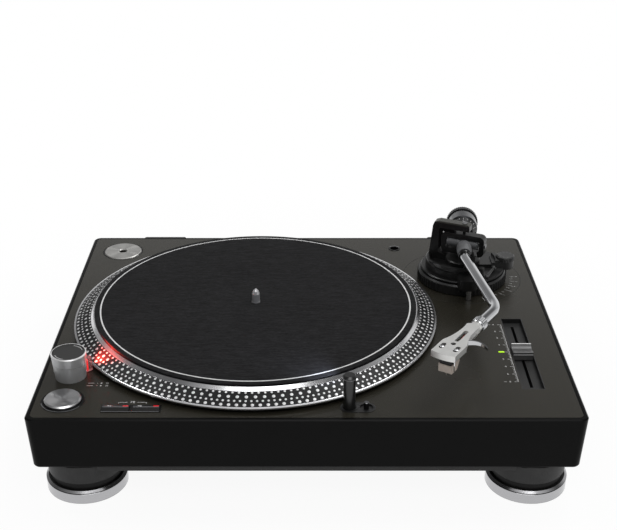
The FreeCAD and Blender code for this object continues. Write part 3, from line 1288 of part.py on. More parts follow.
# Gimbal, hub, tube and head
def gimbal_ring():
    """Upright ring that turns in the frame and holds the hub's two side pivots."""
    across = rightward(GIMBAL_YAW)
    middle = (GIMBAL_LOW + GIMBAL_TOP) / 2
    half_height = (GIMBAL_TOP - GIMBAL_LOW) / 2
    outer = rounded_wire(-GIMBAL_HALF, GIMBAL_HALF, -half_height, half_height, GIMBAL_CORNER)
    inner = rounded_wire(-GIMBAL_HALF + GIMBAL_BAR, GIMBAL_HALF - GIMBAL_BAR,
                         -half_height + GIMBAL_BAR, half_height - GIMBAL_BAR, GIMBAL_CORNER * 0.5)
    depth = vec(0, 0, GIMBAL_DEPTH)
    body = Part.Face(outer).extrude(depth).cut(Part.Face(inner).extrude(depth))
    body.translate(vec(0, 0, -GIMBAL_DEPTH / 2))
    body.rotate(vec(0, 0, 0), vec(1, 0, 0), 90)
    body.rotate(vec(0, 0, 0), UP, -GIMBAL_YAW)
    body.translate(vec(ARM_X, ARM_Y, middle))
    bore = PIVOT_RADIUS + PIVOT_GAP
    reach = GIMBAL_HALF - PIVOT_END
    heads = []
    for side in (-1, 1):
        heads.append(rod(ARM_PIVOT + across * (side * reach),
                         ARM_PIVOT + across * (side * (GIMBAL_HALF + PIVOT_HEAD)), PIVOT_SCREW))
    bores = [disc(bore, GIMBAL_LOW - 1, GIMBAL_TOP + 1, ARM),
             rod(ARM_PIVOT - across * reach, ARM_PIVOT + across * reach, bore)]
    return cut_all(fuse_all([body] + heads), bores)


def lifted(shape):
    """The arm is drawn level, as it plays a record, and then raised to lie in its rest."""
    shape = shape.copy()
    shape.rotate(ARM_PIVOT, rightward(GIMBAL_YAW), -REST_LIFT)
    return shape


def arm_hub():
    across = rightward(GIMBAL_YAW)
    ahead = forward(HOLDER_YAW)
    reach = GIMBAL_HALF - PIVOT_END - PIVOT_SPARE
    cross = [
        rod(ARM_PIVOT - across * CROSS_LEFT, ARM_PIVOT + across * CROSS_RIGHT, CROSS_RADIUS),
        rod(ARM_PIVOT - across * reach, ARM_PIVOT + across * reach, PIVOT_RADIUS),
    ]
    holder = turned([
        (0, -HOLDER_REAR), (CROSS_RADIUS - 0.2, -HOLDER_REAR), (HOLDER_NECK_RADIUS, HOLDER_NECK),
        (HOLDER_RADIUS - 0.6, HOLDER_SHOULDER - 4), (HOLDER_RADIUS, HOLDER_SHOULDER),
        (HOLDER_RADIUS, HOLDER_LENGTH - 8), (HOLDER_RADIUS - 1.0, HOLDER_LENGTH), (0, HOLDER_LENGTH),
    ])
    holder = lay_along(holder, ARM_PIVOT, ahead)
    shaft = rod(weight_axis(HOLDER_REAR - 1), weight_axis(REAR_SHAFT_LENGTH), REAR_SHAFT_RADIUS)
    bore = TUBE_RADIUS + PLATE_GAP
    seat = rod(weight_axis(TUBE_SEAT - HOLDER_LENGTH), weight_axis(-HOLDER_LENGTH - 1), bore)
    return lifted(fuse_all(cross + [holder, shaft]).cut(seat))


def tube_corners():
    """Seat in the holder, two bends and the end in the locking collar."""
    seat = ARM_PIVOT + forward(HOLDER_YAW) * (HOLDER_LENGTH - TUBE_SEAT)
    first = ARM_PIVOT + forward(HOLDER_YAW) * HOLDER_REACH
    second = first + forward(TUBE_YAW) * FIRST_RUN
    end = second + forward(HEAD_YAW) * (SECOND_RUN + COLLAR_LENGTH / 2)
    return [seat, first, second, end]


def arm_tube():
    corners = tube_corners()
    bends = [FIRST_BEND, SECOND_BEND]
    edges = []
    start = corners[0]
    for index, radius in enumerate(bends):
        corner = corners[index + 1]
        before = (corners[index] - corner).normalize()
        after = (corners[index + 2] - corner).normalize()
        half_turn = (math.pi - before.getAngle(after)) / 2
        setback = radius * math.tan(half_turn)
        bisector = (before + after).normalize()
        middle = corner + bisector * (radius / math.cos(half_turn) - radius)
        arc_start = corner + before * setback
        arc_end = corner + after * setback
        edges.append(Part.LineSegment(start, arc_start).toShape())
        edges.append(Part.Arc(arc_start, middle, arc_end).toShape())
        start = arc_end
    edges.append(Part.LineSegment(start, corners[3]).toShape())
    path = Part.Wire(edges)
    section = Part.Wire(Part.makeCircle(TUBE_RADIUS, corners[0], forward(HOLDER_YAW)))
    tube = path.makePipeShell([section], True, False)
    ahead = forward(HOLDER_YAW)
    ferrule_start = ARM_PIVOT + ahead * (HOLDER_LENGTH + 0.05)
    ferrule = turned([
        (0, 0), (FERRULE_RADIUS - 0.2, 0), (FERRULE_RADIUS, 0.4), (FERRULE_RADIUS, FERRULE_LENGTH - 1.4),
        (TUBE_RADIUS + 0.3, FERRULE_LENGTH), (0, FERRULE_LENGTH),
    ])
    return lifted(fuse_all([tube, lay_along(ferrule, ferrule_start, ahead)]))


def collar_centre():
    return tube_corners()[2] + forward(HEAD_YAW) * SECOND_RUN


def head_collar():
    start = collar_centre() - forward(HEAD_YAW) * (COLLAR_LENGTH / 2)
    grip = fluted(COLLAR_RADIUS, 0.45, COLLAR_FLUTES, COLLAR_LENGTH - 2.0)
    cap = turned([(0, COLLAR_LENGTH - 2.5), (COLLAR_RADIUS - 0.5, COLLAR_LENGTH - 2.5),
                  (COLLAR_RADIUS - 0.5, COLLAR_LENGTH - 0.8), (COLLAR_RADIUS - 1.1, COLLAR_LENGTH - 0.1),
                  (0, COLLAR_LENGTH - 0.1)])
    bore = disc(TUBE_RADIUS + RUNNING, -1, COLLAR_LENGTH + 1)
    return lifted(lay_along(fuse_all([grip, cap]).cut(bore), start, forward(HEAD_YAW)))


def head_point(back_from_front, to_right, rise):
    """A point on the head: distance behind its front edge, to its right and above the tube's axis."""
    front = collar_centre() + forward(HEAD_YAW) * HEAD_REACH
    return front - forward(HEAD_YAW) * back_from_front + rightward(HEAD_YAW) * to_right + vec(0, 0, rise)


def head_outline(inset, low, high):
    """Headshell body: a bowed front, straight sides, then hollow flanks to the neck."""
    half = HEAD_WIDTH / 2 - inset
    neck = HEAD_NECK_RADIUS + 1.0 - inset
    shoulder = HEAD_SHOULDER
    tail = HEAD_REACH - COLLAR_LENGTH / 2 - HEAD_NECK - inset
    left = [
        head_point(inset + HEAD_BOW, -half, low), head_point(shoulder, -half, low),
        head_point(shoulder + 12, -(half + neck) / 2 + 1.2, low), head_point(tail, -neck, low),
    ]
    right = [
        head_point(tail, neck, low), head_point(shoulder + 12, (half + neck) / 2 - 1.2, low),
        head_point(shoulder, half, low), head_point(inset + HEAD_BOW, half, low),
    ]
    edges = [
        Part.LineSegment(left[0], left[1]).toShape(),
        Part.Arc(left[1], left[2], left[3]).toShape(),
        Part.Arc(left[3], head_point(tail + neck * 0.55, 0, low), right[0]).toShape(),
        Part.Arc(right[0], right[1], right[2]).toShape(),
        Part.LineSegment(right[2], right[3]).toShape(),
        Part.Arc(right[3], head_point(inset - HEAD_BOW, 0, low), left[0]).toShape(),
    ]
    return Part.Face(Part.Wire(edges)).extrude(vec(0, 0, high - low))


def head_slot(back, to_right, length, width):
    """Oblong cutter along the head's axis, centred at the given place."""
    low = HEAD_RISE - HEAD_PLATE - 1
    high = HEAD_RISE + 1
    first = head_point(back - (length - width) / 2, to_right, low)
    last = head_point(back + (length - width) / 2, to_right, low)
    side = rightward(HEAD_YAW) * (width / 2)
    bar = polygon_face([first - side, first + side, last + side, last - side]).extrude(vec(0, 0, high - low))
    ends = [Part.makeCylinder(width / 2, high - low, point) for point in (first, last)]
    return fuse_all([bar] + ends)


def headshell():
    body = head_outline(0.0, HEAD_RISE - HEAD_SKIRT, HEAD_RISE)
    pocket = head_outline(HEAD_WALL, HEAD_RISE - HEAD_SKIRT - 1, HEAD_RISE - HEAD_PLATE)
    body = body.cut(pocket)
    collar = HEAD_REACH - COLLAR_LENGTH / 2
    neck_start = head_point(collar - HEAD_NECK - 5, 0, 0)
    neck_end = head_point(collar - 0.05, 0, 0)
    middle = head_point(collar - HEAD_NECK + 2, 0, 0)
    neck = fuse_all([taper(neck_start, middle, HEAD_NECK_RADIUS + 1.1, HEAD_NECK_RADIUS),
                     rod(middle, neck_end, HEAD_NECK_RADIUS)])
    neck = neck.cut(head_box(0, HEAD_REACH, HEAD_WIDTH, HEAD_RISE, HEAD_RISE + HEAD_WIDTH))
    slots = [head_slot(HEAD_SHOULDER + 13.0, 0.0, 21.0, 3.6), head_slot(HEAD_SHOULDER - 2.4, 0.0, 4.4, 4.2)]
    for side in (-1, 1):
        slots.append(head_slot(CARTRIDGE_SETBACK + 6.2, side * SCREW_SPACING / 2, 9.6, 3.8))
    return lifted(cut_all(fuse_all([body, neck]), slots))


def finger_lift():
    """Curved blade on the head's right side that narrows and droops to its tip."""
    root = HEAD_WIDTH / 2 - HEAD_WALL
    back = LIFT_BACK
    stations = 9
    rings = []
    for index in range(stations):
        share = index / (stations - 1)
        to_right = root + (share - 0.2) * LIFT_REACH
        sweep = 5.5 * math.sin(math.pi * share * 0.75)
        droop = 2.6 * share ** 3
        height = 4.4 - 2.4 * share
        centre = head_point(back + sweep, to_right, HEAD_RISE - 2.6 - droop)
        thick = forward(HEAD_YAW) * 0.75
        tall = vec(0, 0, height / 2)
        corners = [centre - thick - tall, centre + thick - tall, centre + thick + tall, centre - thick + tall]
        rings.append(Part.makePolygon(corners + [corners[0]]))
    return lifted(Part.makeLoft(rings, True, False).cut(headshell_solid_level()))


def headshell_solid_level():
    """Outer form of the head, so that the finger lift ends at its flank."""
    return head_outline(0.0, HEAD_RISE - HEAD_SKIRT - 4, HEAD_RISE + 2)


def cartridge():
    """Mounting flange with its ears under the head, over the generator body."""
    top = HEAD_RISE - HEAD_PLATE
    flange = head_box(CARTRIDGE_SETBACK + 1.5, CARTRIDGE_LENGTH - 3, CARTRIDGE_WIDTH, top - 2.4, top)
    body = head_box(CARTRIDGE_SETBACK, CARTRIDGE_LENGTH, STYLUS_WIDTH - 1.0, -CARTRIDGE_DROP, top - 2.2)
    pins = [rod(head_point(CARTRIDGE_SETBACK + CARTRIDGE_LENGTH - 0.5, side * 2.2, -1.5),
                head_point(CARTRIDGE_SETBACK + CARTRIDGE_LENGTH + 4.0, side * 2.2, -1.5), 0.6)
            for side in (-1, 1)]
    return lifted(fuse_all([flange, body] + pins))


def head_box(back, length, width, low, high):
    """Block on the head's axis, from back to back + length behind the front edge."""
    corners = [head_point(back, -width / 2, low), head_point(back, width / 2, low),
               head_point(back + length, width / 2, low), head_point(back + length, -width / 2, low)]
    return polygon_face(corners).extrude(vec(0, 0, high - low))


def stylus():
    """Stylus carrier with a sloped front, the cantilever and the needle."""
    top = -CARTRIDGE_DROP
    low = -STYLUS_DROP
    back = CARTRIDGE_SETBACK + CARTRIDGE_LENGTH
    half = STYLUS_WIDTH / 2
    profile = [
        head_point(CARTRIDGE_SETBACK - 0.8, -half, top),
        head_point(CARTRIDGE_SETBACK - 0.4, -half, low + 1.2),
        head_point(CARTRIDGE_SETBACK + 0.8, -half, low), head_point(back - 4.5, -half, low),
        head_point(back, -half, top + 2.5 - (top - low) * 0.5), head_point(back, -half, top),
    ]
    carrier = polygon_face(profile).extrude(rightward(HEAD_YAW) * STYLUS_WIDTH)
    hollow = head_box(CARTRIDGE_SETBACK + 2.0, 6.0, 3.0, low - 1, low + 2.5)
    tip = head_point(NEEDLE_SETBACK, 0, -NEEDLE_DROP)
    lever = rod(head_point(CARTRIDGE_SETBACK + 8.4, 0, low + 0.8), tip + vec(0, 0, 1.6), 0.45)
    needle = taper(tip + vec(0, 0, 1.8), tip, 0.5, 0.12)
    return lifted(fuse_all([carrier.cut(hollow), lever, needle]))


# Counterweight
def weight_axis(distance):
    """Point on the rear shaft, a distance behind the pivot."""
    return ARM_PIVOT - forward(HOLDER_YAW) * distance


def weight_sleeve():
    length = WEIGHT_BAND + WEIGHT_GRIP - 2.0
    body = ring(SLEEVE_RADIUS, REAR_SHAFT_RADIUS + RUNNING, 0.0, length)
    return lifted(lay_along(body, weight_axis(WEIGHT_START), forward(HOLDER_YAW) * -1))


def counterweight():
    length = WEIGHT_BAND + WEIGHT_GRIP
    bore = SLEEVE_RADIUS + RUNNING
    band = turned([(bore, 0.0), (WEIGHT_BAND_RADIUS - 1.0, 0.0), (WEIGHT_BAND_RADIUS, 1.0),
                   (WEIGHT_BAND_RADIUS, WEIGHT_BAND), (bore, WEIGHT_BAND)])
    grip = fluted(WEIGHT_RADIUS, 0.5, WEIGHT_FLUTES, WEIGHT_GRIP - 1.5)
    grip.translate(vec(0, 0, WEIGHT_BAND))
    edge = length - WEIGHT_END
    end = turned([(0, edge - 1.0), (WEIGHT_RADIUS - 0.6, edge - 1.0), (WEIGHT_RADIUS - 0.6, edge),
                  (WEIGHT_RADIUS - 1.6, length), (0, length)])
    body = fuse_all([band, grip, end])
    body = body.cut(disc(bore, -1, length - 1.0)).cut(disc(REAR_SHAFT_RADIUS + 0.4, -1, length + 1))
    return lifted(lay_along(body, weight_axis(WEIGHT_START), forward(HOLDER_YAW) * -1))


def force_dial():
    bore = REAR_SHAFT_RADIUS + RUNNING
    body = turned([
        (bore, 0.0), (FORCE_DIAL_RADIUS - 4.2, 0.0), (FORCE_DIAL_RADIUS - 3.2, 0.4),
        (FORCE_DIAL_RADIUS, FORCE_DIAL_LENGTH - 1.6), (FORCE_DIAL_RADIUS, FORCE_DIAL_LENGTH),
        (bore, FORCE_DIAL_LENGTH),
    ])
    start = weight_axis(WEIGHT_START - FORCE_DIAL_LENGTH - 0.1)
    return lifted(lay_along(body, start, forward(HOLDER_YAW) * -1))


# Arm rest, clamp and cueing
def rest_centre():
    """Where the tube crosses the rest, at its level height."""
    share = (ARM_Y - REST_Y) / -forward(HOLDER_YAW).y
    return ARM_PIVOT + forward(HOLDER_YAW) * share


def arm_rest():
    """Low cradle under the tube, open to the left, on an upright at its right side."""
    centre = rest_centre()
    inner = TUBE_RADIUS + REST_GAP
    outer = inner + REST_WALL * 0.8
    cradle = ring(outer, inner, -REST_WIDTH / 2, REST_WIDTH / 2)
    cradle = cradle.common(block(-outer, outer, -outer, REST_LIP - inner, -REST_WIDTH, REST_WIDTH))
    cradle.rotate(vec(0, 0, 0), vec(1, 0, 0), 90)
    cradle.translate(centre)
    low_back = centre.y + REST_WIDTH / 2
    low_front = centre.y - REST_WIDTH / 2
    right = rest_side() - REST_WALL / 2
    floor = block(centre.x, right + 0.5, low_front, low_back, centre.z - outer, centre.z - inner)
    upright = block(right, right + REST_WALL, low_front, low_back, DRUM_TOP, clamp_height() - 0.15)
    foot_low = block(centre.x, right + REST_WALL, low_front, low_back, DRUM_TOP, centre.z - inner)
    rest = fuse_all([cradle, floor, foot_low, upright])
    pivot = clamp_pivot()
    bore_low = pivot - vec(0, 0, CLAMP_PIN_LENGTH + 0.5)
    return rest.cut(rod(bore_low, pivot + vec(0, 0, 1), CLAMP_PIN_RADIUS + PIVOT_GAP))


def rest_side():
    """Middle of the upright beside the tube."""
    return rest_centre().x + TUBE_RADIUS + REST_SIDE_GAP + REST_WALL / 2


def clamp_height():
    """Underside of the clamp, just above the raised tube."""
    raised = math.tan(math.radians(REST_LIFT)) * (rest_centre() - ARM_PIVOT).Length
    return ARM_AXIS_HEIGHT + TUBE_RADIUS + raised + REST_GAP * 0.35


def clamp_pivot():
    return vec(rest_side(), rest_centre().y, clamp_height())


def arm_clamp():
    """Leaf that points forward beside the tube and swings over it to the left."""
    pivot = clamp_pivot()
    half = CLAMP_WIDTH / 2
    low = clamp_height()
    high = low + CLAMP_THICKNESS
    head = Part.makeCylinder(half, CLAMP_THICKNESS, pivot)
    leaf = block(pivot.x - half, pivot.x + half, pivot.y - CLAMP_REACH, pivot.y, low, high)
    tip = Part.makeCylinder(half, CLAMP_THICKNESS, pivot - vec(0, CLAMP_REACH, 0))
    pin = rod(pivot - vec(0, 0, CLAMP_PIN_LENGTH), pivot + vec(0, 0, 0.5), CLAMP_PIN_RADIUS)
    return fuse_all([head, leaf, tip, pin])


def cue_piston_place():
    angle = math.radians(CUE_BAR_END - 4.0)
    return (ARM_X + CUE_BAR_RADIUS * math.cos(angle), ARM_Y + CUE_BAR_RADIUS * math.sin(angle))


def cue_lift():
    """Curved bar under the arm on its piston."""
    low = CUE_BAR_TOP - CUE_BAR_THICKNESS
    bar = ring(CUE_BAR_RADIUS + CUE_BAR_WIDTH / 2, CUE_BAR_RADIUS - CUE_BAR_WIDTH / 2, low, CUE_BAR_TOP, ARM)
    far = 2 * CUE_BAR_RADIUS
    wedge_points = [vec(ARM_X, ARM_Y, low)]
    for share in (0.0, 0.5, 1.0):
        angle = math.radians(CUE_BAR_START + share * (CUE_BAR_END - CUE_BAR_START))
        wedge_points.append(vec(ARM_X + far * math.cos(angle), ARM_Y + far * math.sin(angle), low))
    wedge = polygon_face(wedge_points).extrude(vec(0, 0, CUE_BAR_THICKNESS))
    piston = disc(CUE_PISTON_RADIUS, BASE_LOW + 2 * CUE_POST_GAP, CUE_BAR_TOP, cue_piston_place())
    return fuse_all([bar.common(wedge), piston])


def cue_shaft_point(inward):
    """Point on the lever's shaft, a distance inward from the lever's root."""
    root = vec(CUE_LEVER_X, CUE_LEVER_Y, CUE_SHAFT_HEIGHT)
    return root - rightward(CUE_LEVER_YAW) * inward


def cue_lever():
    """Round lever with a ball tip that lies on the open quarter of the base."""
    out = forward(CUE_LEVER_YAW) * -1
    root = cue_shaft_point(0)
    tip_place = root + out * CUE_LEVER_LENGTH + vec(0, 0, 1.0)
    shaft = rod(cue_shaft_point(CUE_SHAFT_LENGTH), cue_shaft_point(-1.5), CUE_SHAFT_RADIUS)
    root_ball = Part.makeSphere(1.9, cue_shaft_point(-1.6))
    arm = taper(cue_shaft_point(-1.6), tip_place, 1.7, 1.1)
    tip = Part.makeSphere(2.3, tip_place)
    return fuse_all([shaft, root_ball, arm, tip])


# Rear side and electronics
def rear_line(x, inward, outward, radius):
    """Rod through the rear face, straight back."""
    return rod(vec(x, REAR_FACE - inward, REAR_Z), vec(x, REAR_FACE + outward, REAR_Z), radius)


def rear_block(x, width, height, inward, outward):
    return block(x - width / 2, x + width / 2, REAR_FACE - inward, REAR_FACE + outward,
                 REAR_Z - height / 2, REAR_Z + height / 2)


def jack_panel():
    width = REAR_PANEL_WIDTH - 2 * REAR_PANEL_GAP
    height = REAR_PANEL_HEIGHT - 2 * REAR_PANEL_GAP
    plate = rear_block(REAR_PANEL_X, width, height, REAR_PANEL_THICKNESS, 0.0)
    stud = rear_line(ground_x(), 1.0, STUD_LENGTH, STUD_RADIUS)
    slot = rear_block(switch_x(), SWITCH_TAB + SWITCH_TRAVEL + 1, SWITCH_HEIGHT + 0.4, 5, 1)
    plate = plate.fuse(stud).cut(slot)
    for x in jack_places():
        plate = plate.cut(rear_line(x, 5, 1, JACK_RADIUS + PLATE_GAP))
    return plate


def jack_places():
    right = REAR_PANEL_X + REAR_PANEL_WIDTH / 2 - JACK_MARGIN
    return [right, right - JACK_SPACING]


def ground_x():
    return REAR_PANEL_X - GROUND_OFFSET


def switch_x():
    return REAR_PANEL_X - REAR_PANEL_WIDTH / 2 + SWITCH_MARGIN


def rca_jacks():
    jacks = []
    for x in jack_places():
        barrel = rear_line(x, JACK_ROOT, JACK_LENGTH, JACK_RADIUS)
        collar = rear_line(x, 0.0, JACK_COLLAR - 0.4, JACK_RADIUS + JACK_COLLAR)
        jacks.append(fuse_all([barrel, collar]).cut(rear_line(x, 1.0, JACK_LENGTH + 1, JACK_BORE)))
    return Part.makeCompound(jacks)


def ground_nut():
    body = fluted(GROUND_RADIUS, 0.4, 20, GROUND_NUT_LENGTH)
    body = body.cut(disc(STUD_RADIUS + RUNNING, -1, GROUND_NUT_LENGTH + 1))
    return lay_along(body, vec(ground_x(), REAR_FACE + 1.0, REAR_Z), vec(0, 1, 0))


def output_switch():
    """Slide with its tab through the panel's slot, at the left end of its travel."""
    x = switch_x() - SWITCH_TRAVEL / 2
    body = rear_block(x, SWITCH_WIDTH, SWITCH_HEIGHT, REAR_PANEL_THICKNESS + 2.5, -REAR_PANEL_THICKNESS - 0.1)
    tab = rear_block(x, SWITCH_TAB, SWITCH_HEIGHT - 0.2, REAR_PANEL_THICKNESS + 0.2, SWITCH_PROUD)
    return fuse_all([body, tab])


def ac_inlet():
    """Flanged inlet through the rear wall with an oval cavity and two pins."""
    width = INLET_WIDTH - 2 * INLET_GAP
    height = INLET_HEIGHT - 2 * INLET_GAP
    body = rear_block(INLET_X, width, height, INLET_DEPTH, SIDE_DRAFT + INLET_PROUD)
    flange = rear_block(INLET_X, INLET_WIDTH + 2 * INLET_FLANGE, INLET_HEIGHT + 2 * INLET_FLANGE,
                        -SIDE_DRAFT, SIDE_DRAFT + INLET_PROUD)
    cavity = rounded_block(-PLUG_WIDTH / 2, PLUG_WIDTH / 2, -PLUG_HEIGHT / 2, PLUG_HEIGHT / 2,
                           PLUG_HEIGHT / 2 - 0.05, 0.0, PLUG_DEPTH)
    cavity = lay_along(cavity, vec(INLET_X, PLINTH_DEPTH + INLET_PROUD, REAR_Z), vec(0, -1, 0))
    floor = PLUG_DEPTH - SIDE_DRAFT - INLET_PROUD
    pins = [rear_line(INLET_X + side * CONTACT_SPACING / 2, floor + 1, -2.0, CONTACT_RADIUS)
            for side in (-1, 1)]
    return fuse_all([fuse_all([body, flange]).cut(cavity)] + pins)


def hinge_sockets():
    sockets = []
    high = -HINGE_DROP
    low = high - HINGE_HEIGHT
    for side in (-1, 1):
        x = side * HINGE_X
        body = rounded_block(x - HINGE_WIDTH / 2, x + HINGE_WIDTH / 2, PLINTH_DEPTH, OVERALL_DEPTH,
                             HINGE_CORNER, low, high)
        slot = centred_block((x, PLINTH_DEPTH + HINGE_DEPTH / 2), HINGE_SLOT_WIDTH, HINGE_SLOT_DEPTH,
                             low + HINGE_FLOOR, high + 1)
        sockets.append(body.cut(slot))
    return Part.makeCompound(sockets)


def board_on_legs(centre, width, depth):
    """Circuit board over the cover's dish on four round legs."""
    low = COVER_TOP + BOARD_LIFT
    parts = [centred_block(centre, width, depth, low, low + BOARD_THICKNESS)]
    for across in (-1, 1):
        for along in (-1, 1):
            place = (centre[0] + across * (width / 2 - LEG_INSET),
                     centre[1] + along * (depth / 2 - LEG_INSET))
            parts.append(disc(LEG_RADIUS, DISH_FLOOR, low + 0.1, place))
    return parts


def main_board():
    """Board under the rear half, with its chips and capacitors."""
    top = COVER_TOP + BOARD_LIFT + BOARD_THICKNESS - 0.1
    centre = (MAIN_BOARD_X, MAIN_BOARD_Y)
    parts = board_on_legs(centre, MAIN_BOARD_WIDTH, MAIN_BOARD_DEPTH)
    for share in (-0.28, 0.0):
        place = (centre[0] + share * MAIN_BOARD_WIDTH, centre[1])
        parts.append(centred_block(place, CHIP_WIDTH, CHIP_WIDTH, top, top + CHIP_HEIGHT))
    for step in (-1, 0, 1):
        place = (centre[0] + MAIN_BOARD_WIDTH * 0.3, centre[1] + step * 2.2 * CAN_RADIUS)
        parts.append(disc(CAN_RADIUS * 0.7, top, top + CAN_HEIGHT / 2, place))
    return fuse_all(parts)


def power_supply():
    """Board with a transformer and two smoothing capacitors."""
    top = COVER_TOP + BOARD_LIFT + BOARD_THICKNESS - 0.1
    centre = (SUPPLY_X, SUPPLY_Y)
    core = (centre[0], centre[1] - SUPPLY_DEPTH * 0.14)
    parts = board_on_legs(centre, SUPPLY_WIDTH, SUPPLY_DEPTH)
    height = TRANSFORMER_HEIGHT
    parts.append(centred_block(core, SUPPLY_WIDTH * 0.57, SUPPLY_DEPTH * 0.38, top, top + height))
    parts.append(centred_block(core, SUPPLY_WIDTH * 0.4, SUPPLY_DEPTH * 0.49, top, top + height * 0.75))
    for across in (-1, 1):
        place = (centre[0] + across * 1.5 * CAN_RADIUS, centre[1] + SUPPLY_DEPTH * 0.3)
        parts.append(disc(CAN_RADIUS, top, top + CAN_HEIGHT, place))
    return fuse_all(parts)


PIECES = {
    "plinth_shell": plinth_shell,
    "top_panel": top_panel,
    "bottom_cover": bottom_cover,
    "cover_screws": cover_screws,
    "motor_stator": motor_stator,
    "spindle_bearing": spindle_bearing,
    "main_board": main_board,
    "power_supply": power_supply,
    "jack_panel": jack_panel,
    "rca_jacks": rca_jacks,
    "ac_inlet": ac_inlet,
    "hinge_sockets": hinge_sockets,
    "fader_housing": fader_housing,
    "pitch_well": pitch_well,
    "key_bezel": key_bezel,
    "start_bezel": start_bezel,
    "adapter_cup": adapter_cup,
    "headshell_socket": headshell_socket,
    "lamp_plate": lamp_plate,
    "strobe_tower": strobe_tower,
    "strobe_lens": strobe_lens,
    "arm_scale_plate": arm_scale_plate,
    "arm_pillar": arm_pillar,
    "output_switch": output_switch,
    "ground_nut": ground_nut,
    "platter": platter,
    "spindle": spindle,
    "rotor_magnet": rotor_magnet,
    "slipmat": slipmat,
    "ep_adapter": ep_adapter,
    "power_dial": power_dial,
    "start_button": start_button,
    "popup_lamp": popup_lamp,
    "lamp_button": lamp_button,
    "pitch_knob": pitch_knob,
    "height_ring": height_ring,
    "arm_base": arm_base,
    "arm_frame": arm_frame,
    "arm_rest": arm_rest,
    "antiskate_dial": antiskate_dial,
    "cue_lever": cue_lever,
    "cue_lift": cue_lift,
    "arm_clamp": arm_clamp,
    "gimbal_ring": gimbal_ring,
    "arm_hub": arm_hub,
    "arm_tube": arm_tube,
    "head_collar": head_collar,
    "headshell": headshell,
    "finger_lift": finger_lift,
    "cartridge": cartridge,
    "stylus": stylus,
    "weight_sleeve": weight_sleeve,
    "counterweight": counterweight,
    "force_dial": force_dial,
}


def build():
    shapes = {name: make() for name, make in PIECES.items()}
    shapes["key_33"] = speed_key(-1)
    shapes["key_45"] = speed_key(1)
    for name, place in FEET.items():
        shapes["foot_" + name] = foot(place)
    return shapes


def export():
    os.makedirs("parts", exist_ok=True)
    for name, shape in build().items():
        shape.translate(DECK_TO_ROW)
        shape.exportStep("parts/" + name + ".step")
    needle = head_point(NEEDLE_SETBACK, 0, 0) - ARM_PIVOT
    print("effective length", round(needle.Length, 1))
    print("pivot to spindle", round((vec(*PLATTER) - vec(*ARM)).Length, 1))


export()
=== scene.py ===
import math

import bpy
from mathutils import Matrix, Vector, noise

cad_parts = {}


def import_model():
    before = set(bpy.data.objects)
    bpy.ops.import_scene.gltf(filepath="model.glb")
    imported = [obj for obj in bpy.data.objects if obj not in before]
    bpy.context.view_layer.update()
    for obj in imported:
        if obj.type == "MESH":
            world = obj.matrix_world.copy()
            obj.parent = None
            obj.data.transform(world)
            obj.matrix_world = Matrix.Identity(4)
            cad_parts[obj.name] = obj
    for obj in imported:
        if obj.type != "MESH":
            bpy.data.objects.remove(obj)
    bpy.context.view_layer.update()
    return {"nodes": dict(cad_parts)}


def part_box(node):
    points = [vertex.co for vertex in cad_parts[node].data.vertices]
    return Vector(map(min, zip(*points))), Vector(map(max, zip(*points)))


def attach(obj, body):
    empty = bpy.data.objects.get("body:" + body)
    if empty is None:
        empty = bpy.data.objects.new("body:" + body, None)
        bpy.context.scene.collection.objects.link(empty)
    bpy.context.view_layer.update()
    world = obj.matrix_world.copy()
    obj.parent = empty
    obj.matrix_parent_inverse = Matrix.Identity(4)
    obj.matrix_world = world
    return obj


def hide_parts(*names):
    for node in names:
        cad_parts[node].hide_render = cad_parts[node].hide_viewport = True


# Looks of a direct-drive DJ turntable, built round its CAD frame.
# Sizes are millimetres on the deck: x from the middle, y backwards from the front face and
# h above the top panel. deck() turns them into the frame's metres.

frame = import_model()
NODES = frame["nodes"]

MM = 0.001
RIGHT = Vector((1, 0, 0))
BACK = Vector((0, 1, 0))
UP = Vector((0, 0, 1))
DECK_BACK = -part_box("plinth_shell")[0].y / MM
DECK_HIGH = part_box("top_panel")[1].z / MM


def middle(node):
    """Middle of a node seen from above, in deck millimetres."""
    low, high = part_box(node)
    return ((low.x + high.x) / 2 / MM, (low.y + high.y) / 2 / MM + DECK_BACK)


def top_of(node):
    """Height of a node's top above the panel, in millimetres."""
    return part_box(node)[1].z / MM - DECK_HIGH


PLINTH_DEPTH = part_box("plinth_shell")[1].y / MM + DECK_BACK
PLATTER = middle("platter")
START = middle("start_button")
TOWER = middle("power_dial")
KEYS = {"33": middle("key_33"), "45": middle("key_45")}
KEY_BEZEL = middle("key_bezel")
LAMP = middle("popup_lamp")
SOCKET = middle("headshell_socket")
FADER = middle("pitch_well")
ANTISKATE = middle("antiskate_dial")
TO_PLATTER = (Vector((*PLATTER, 0)) - Vector((*TOWER, 0))).normalized()

# Tonearm, along its own axes
PIVOT = (*middle("height_ring"), 37.0)
REST_LIFT = 0.7
HOLDER_YAW = 5.1
GIMBAL_YAW = 24.0
TUBE_YAW = -7.9
HEAD_YAW = 32.2
HOLDER_RUN = 36.0
TUBE_RUN = 105.7
HEAD_RUN = 36.4
HEAD_REACH = 69.4
HEAD_RISE = 4.6
PIVOT_HEAD = 0.8
PIVOT_SCREW = 2.6

# Gimbal ring and the frame round it, across from the pivot and up from the panel
GIMBAL_HALF = 21.5
GIMBAL_CORNER = 5.0
GIMBAL_TOP = 47.2
GIMBAL_DEPTH = 4.5
FRAME_INNER = -24.3
FRAME_UNDER = 50.4

# Guide pin in front of the arm base
PIN = (PIVOT[0] + 0.8, PIVOT[1] - 49.8)
PIN_RADIUS = 2.45
PIN_TOP = 10.9

# Speed keys
KEY_DEPTH = 8.0
KEY_LIP = 3.4
KEY_SLOPE = 1.1

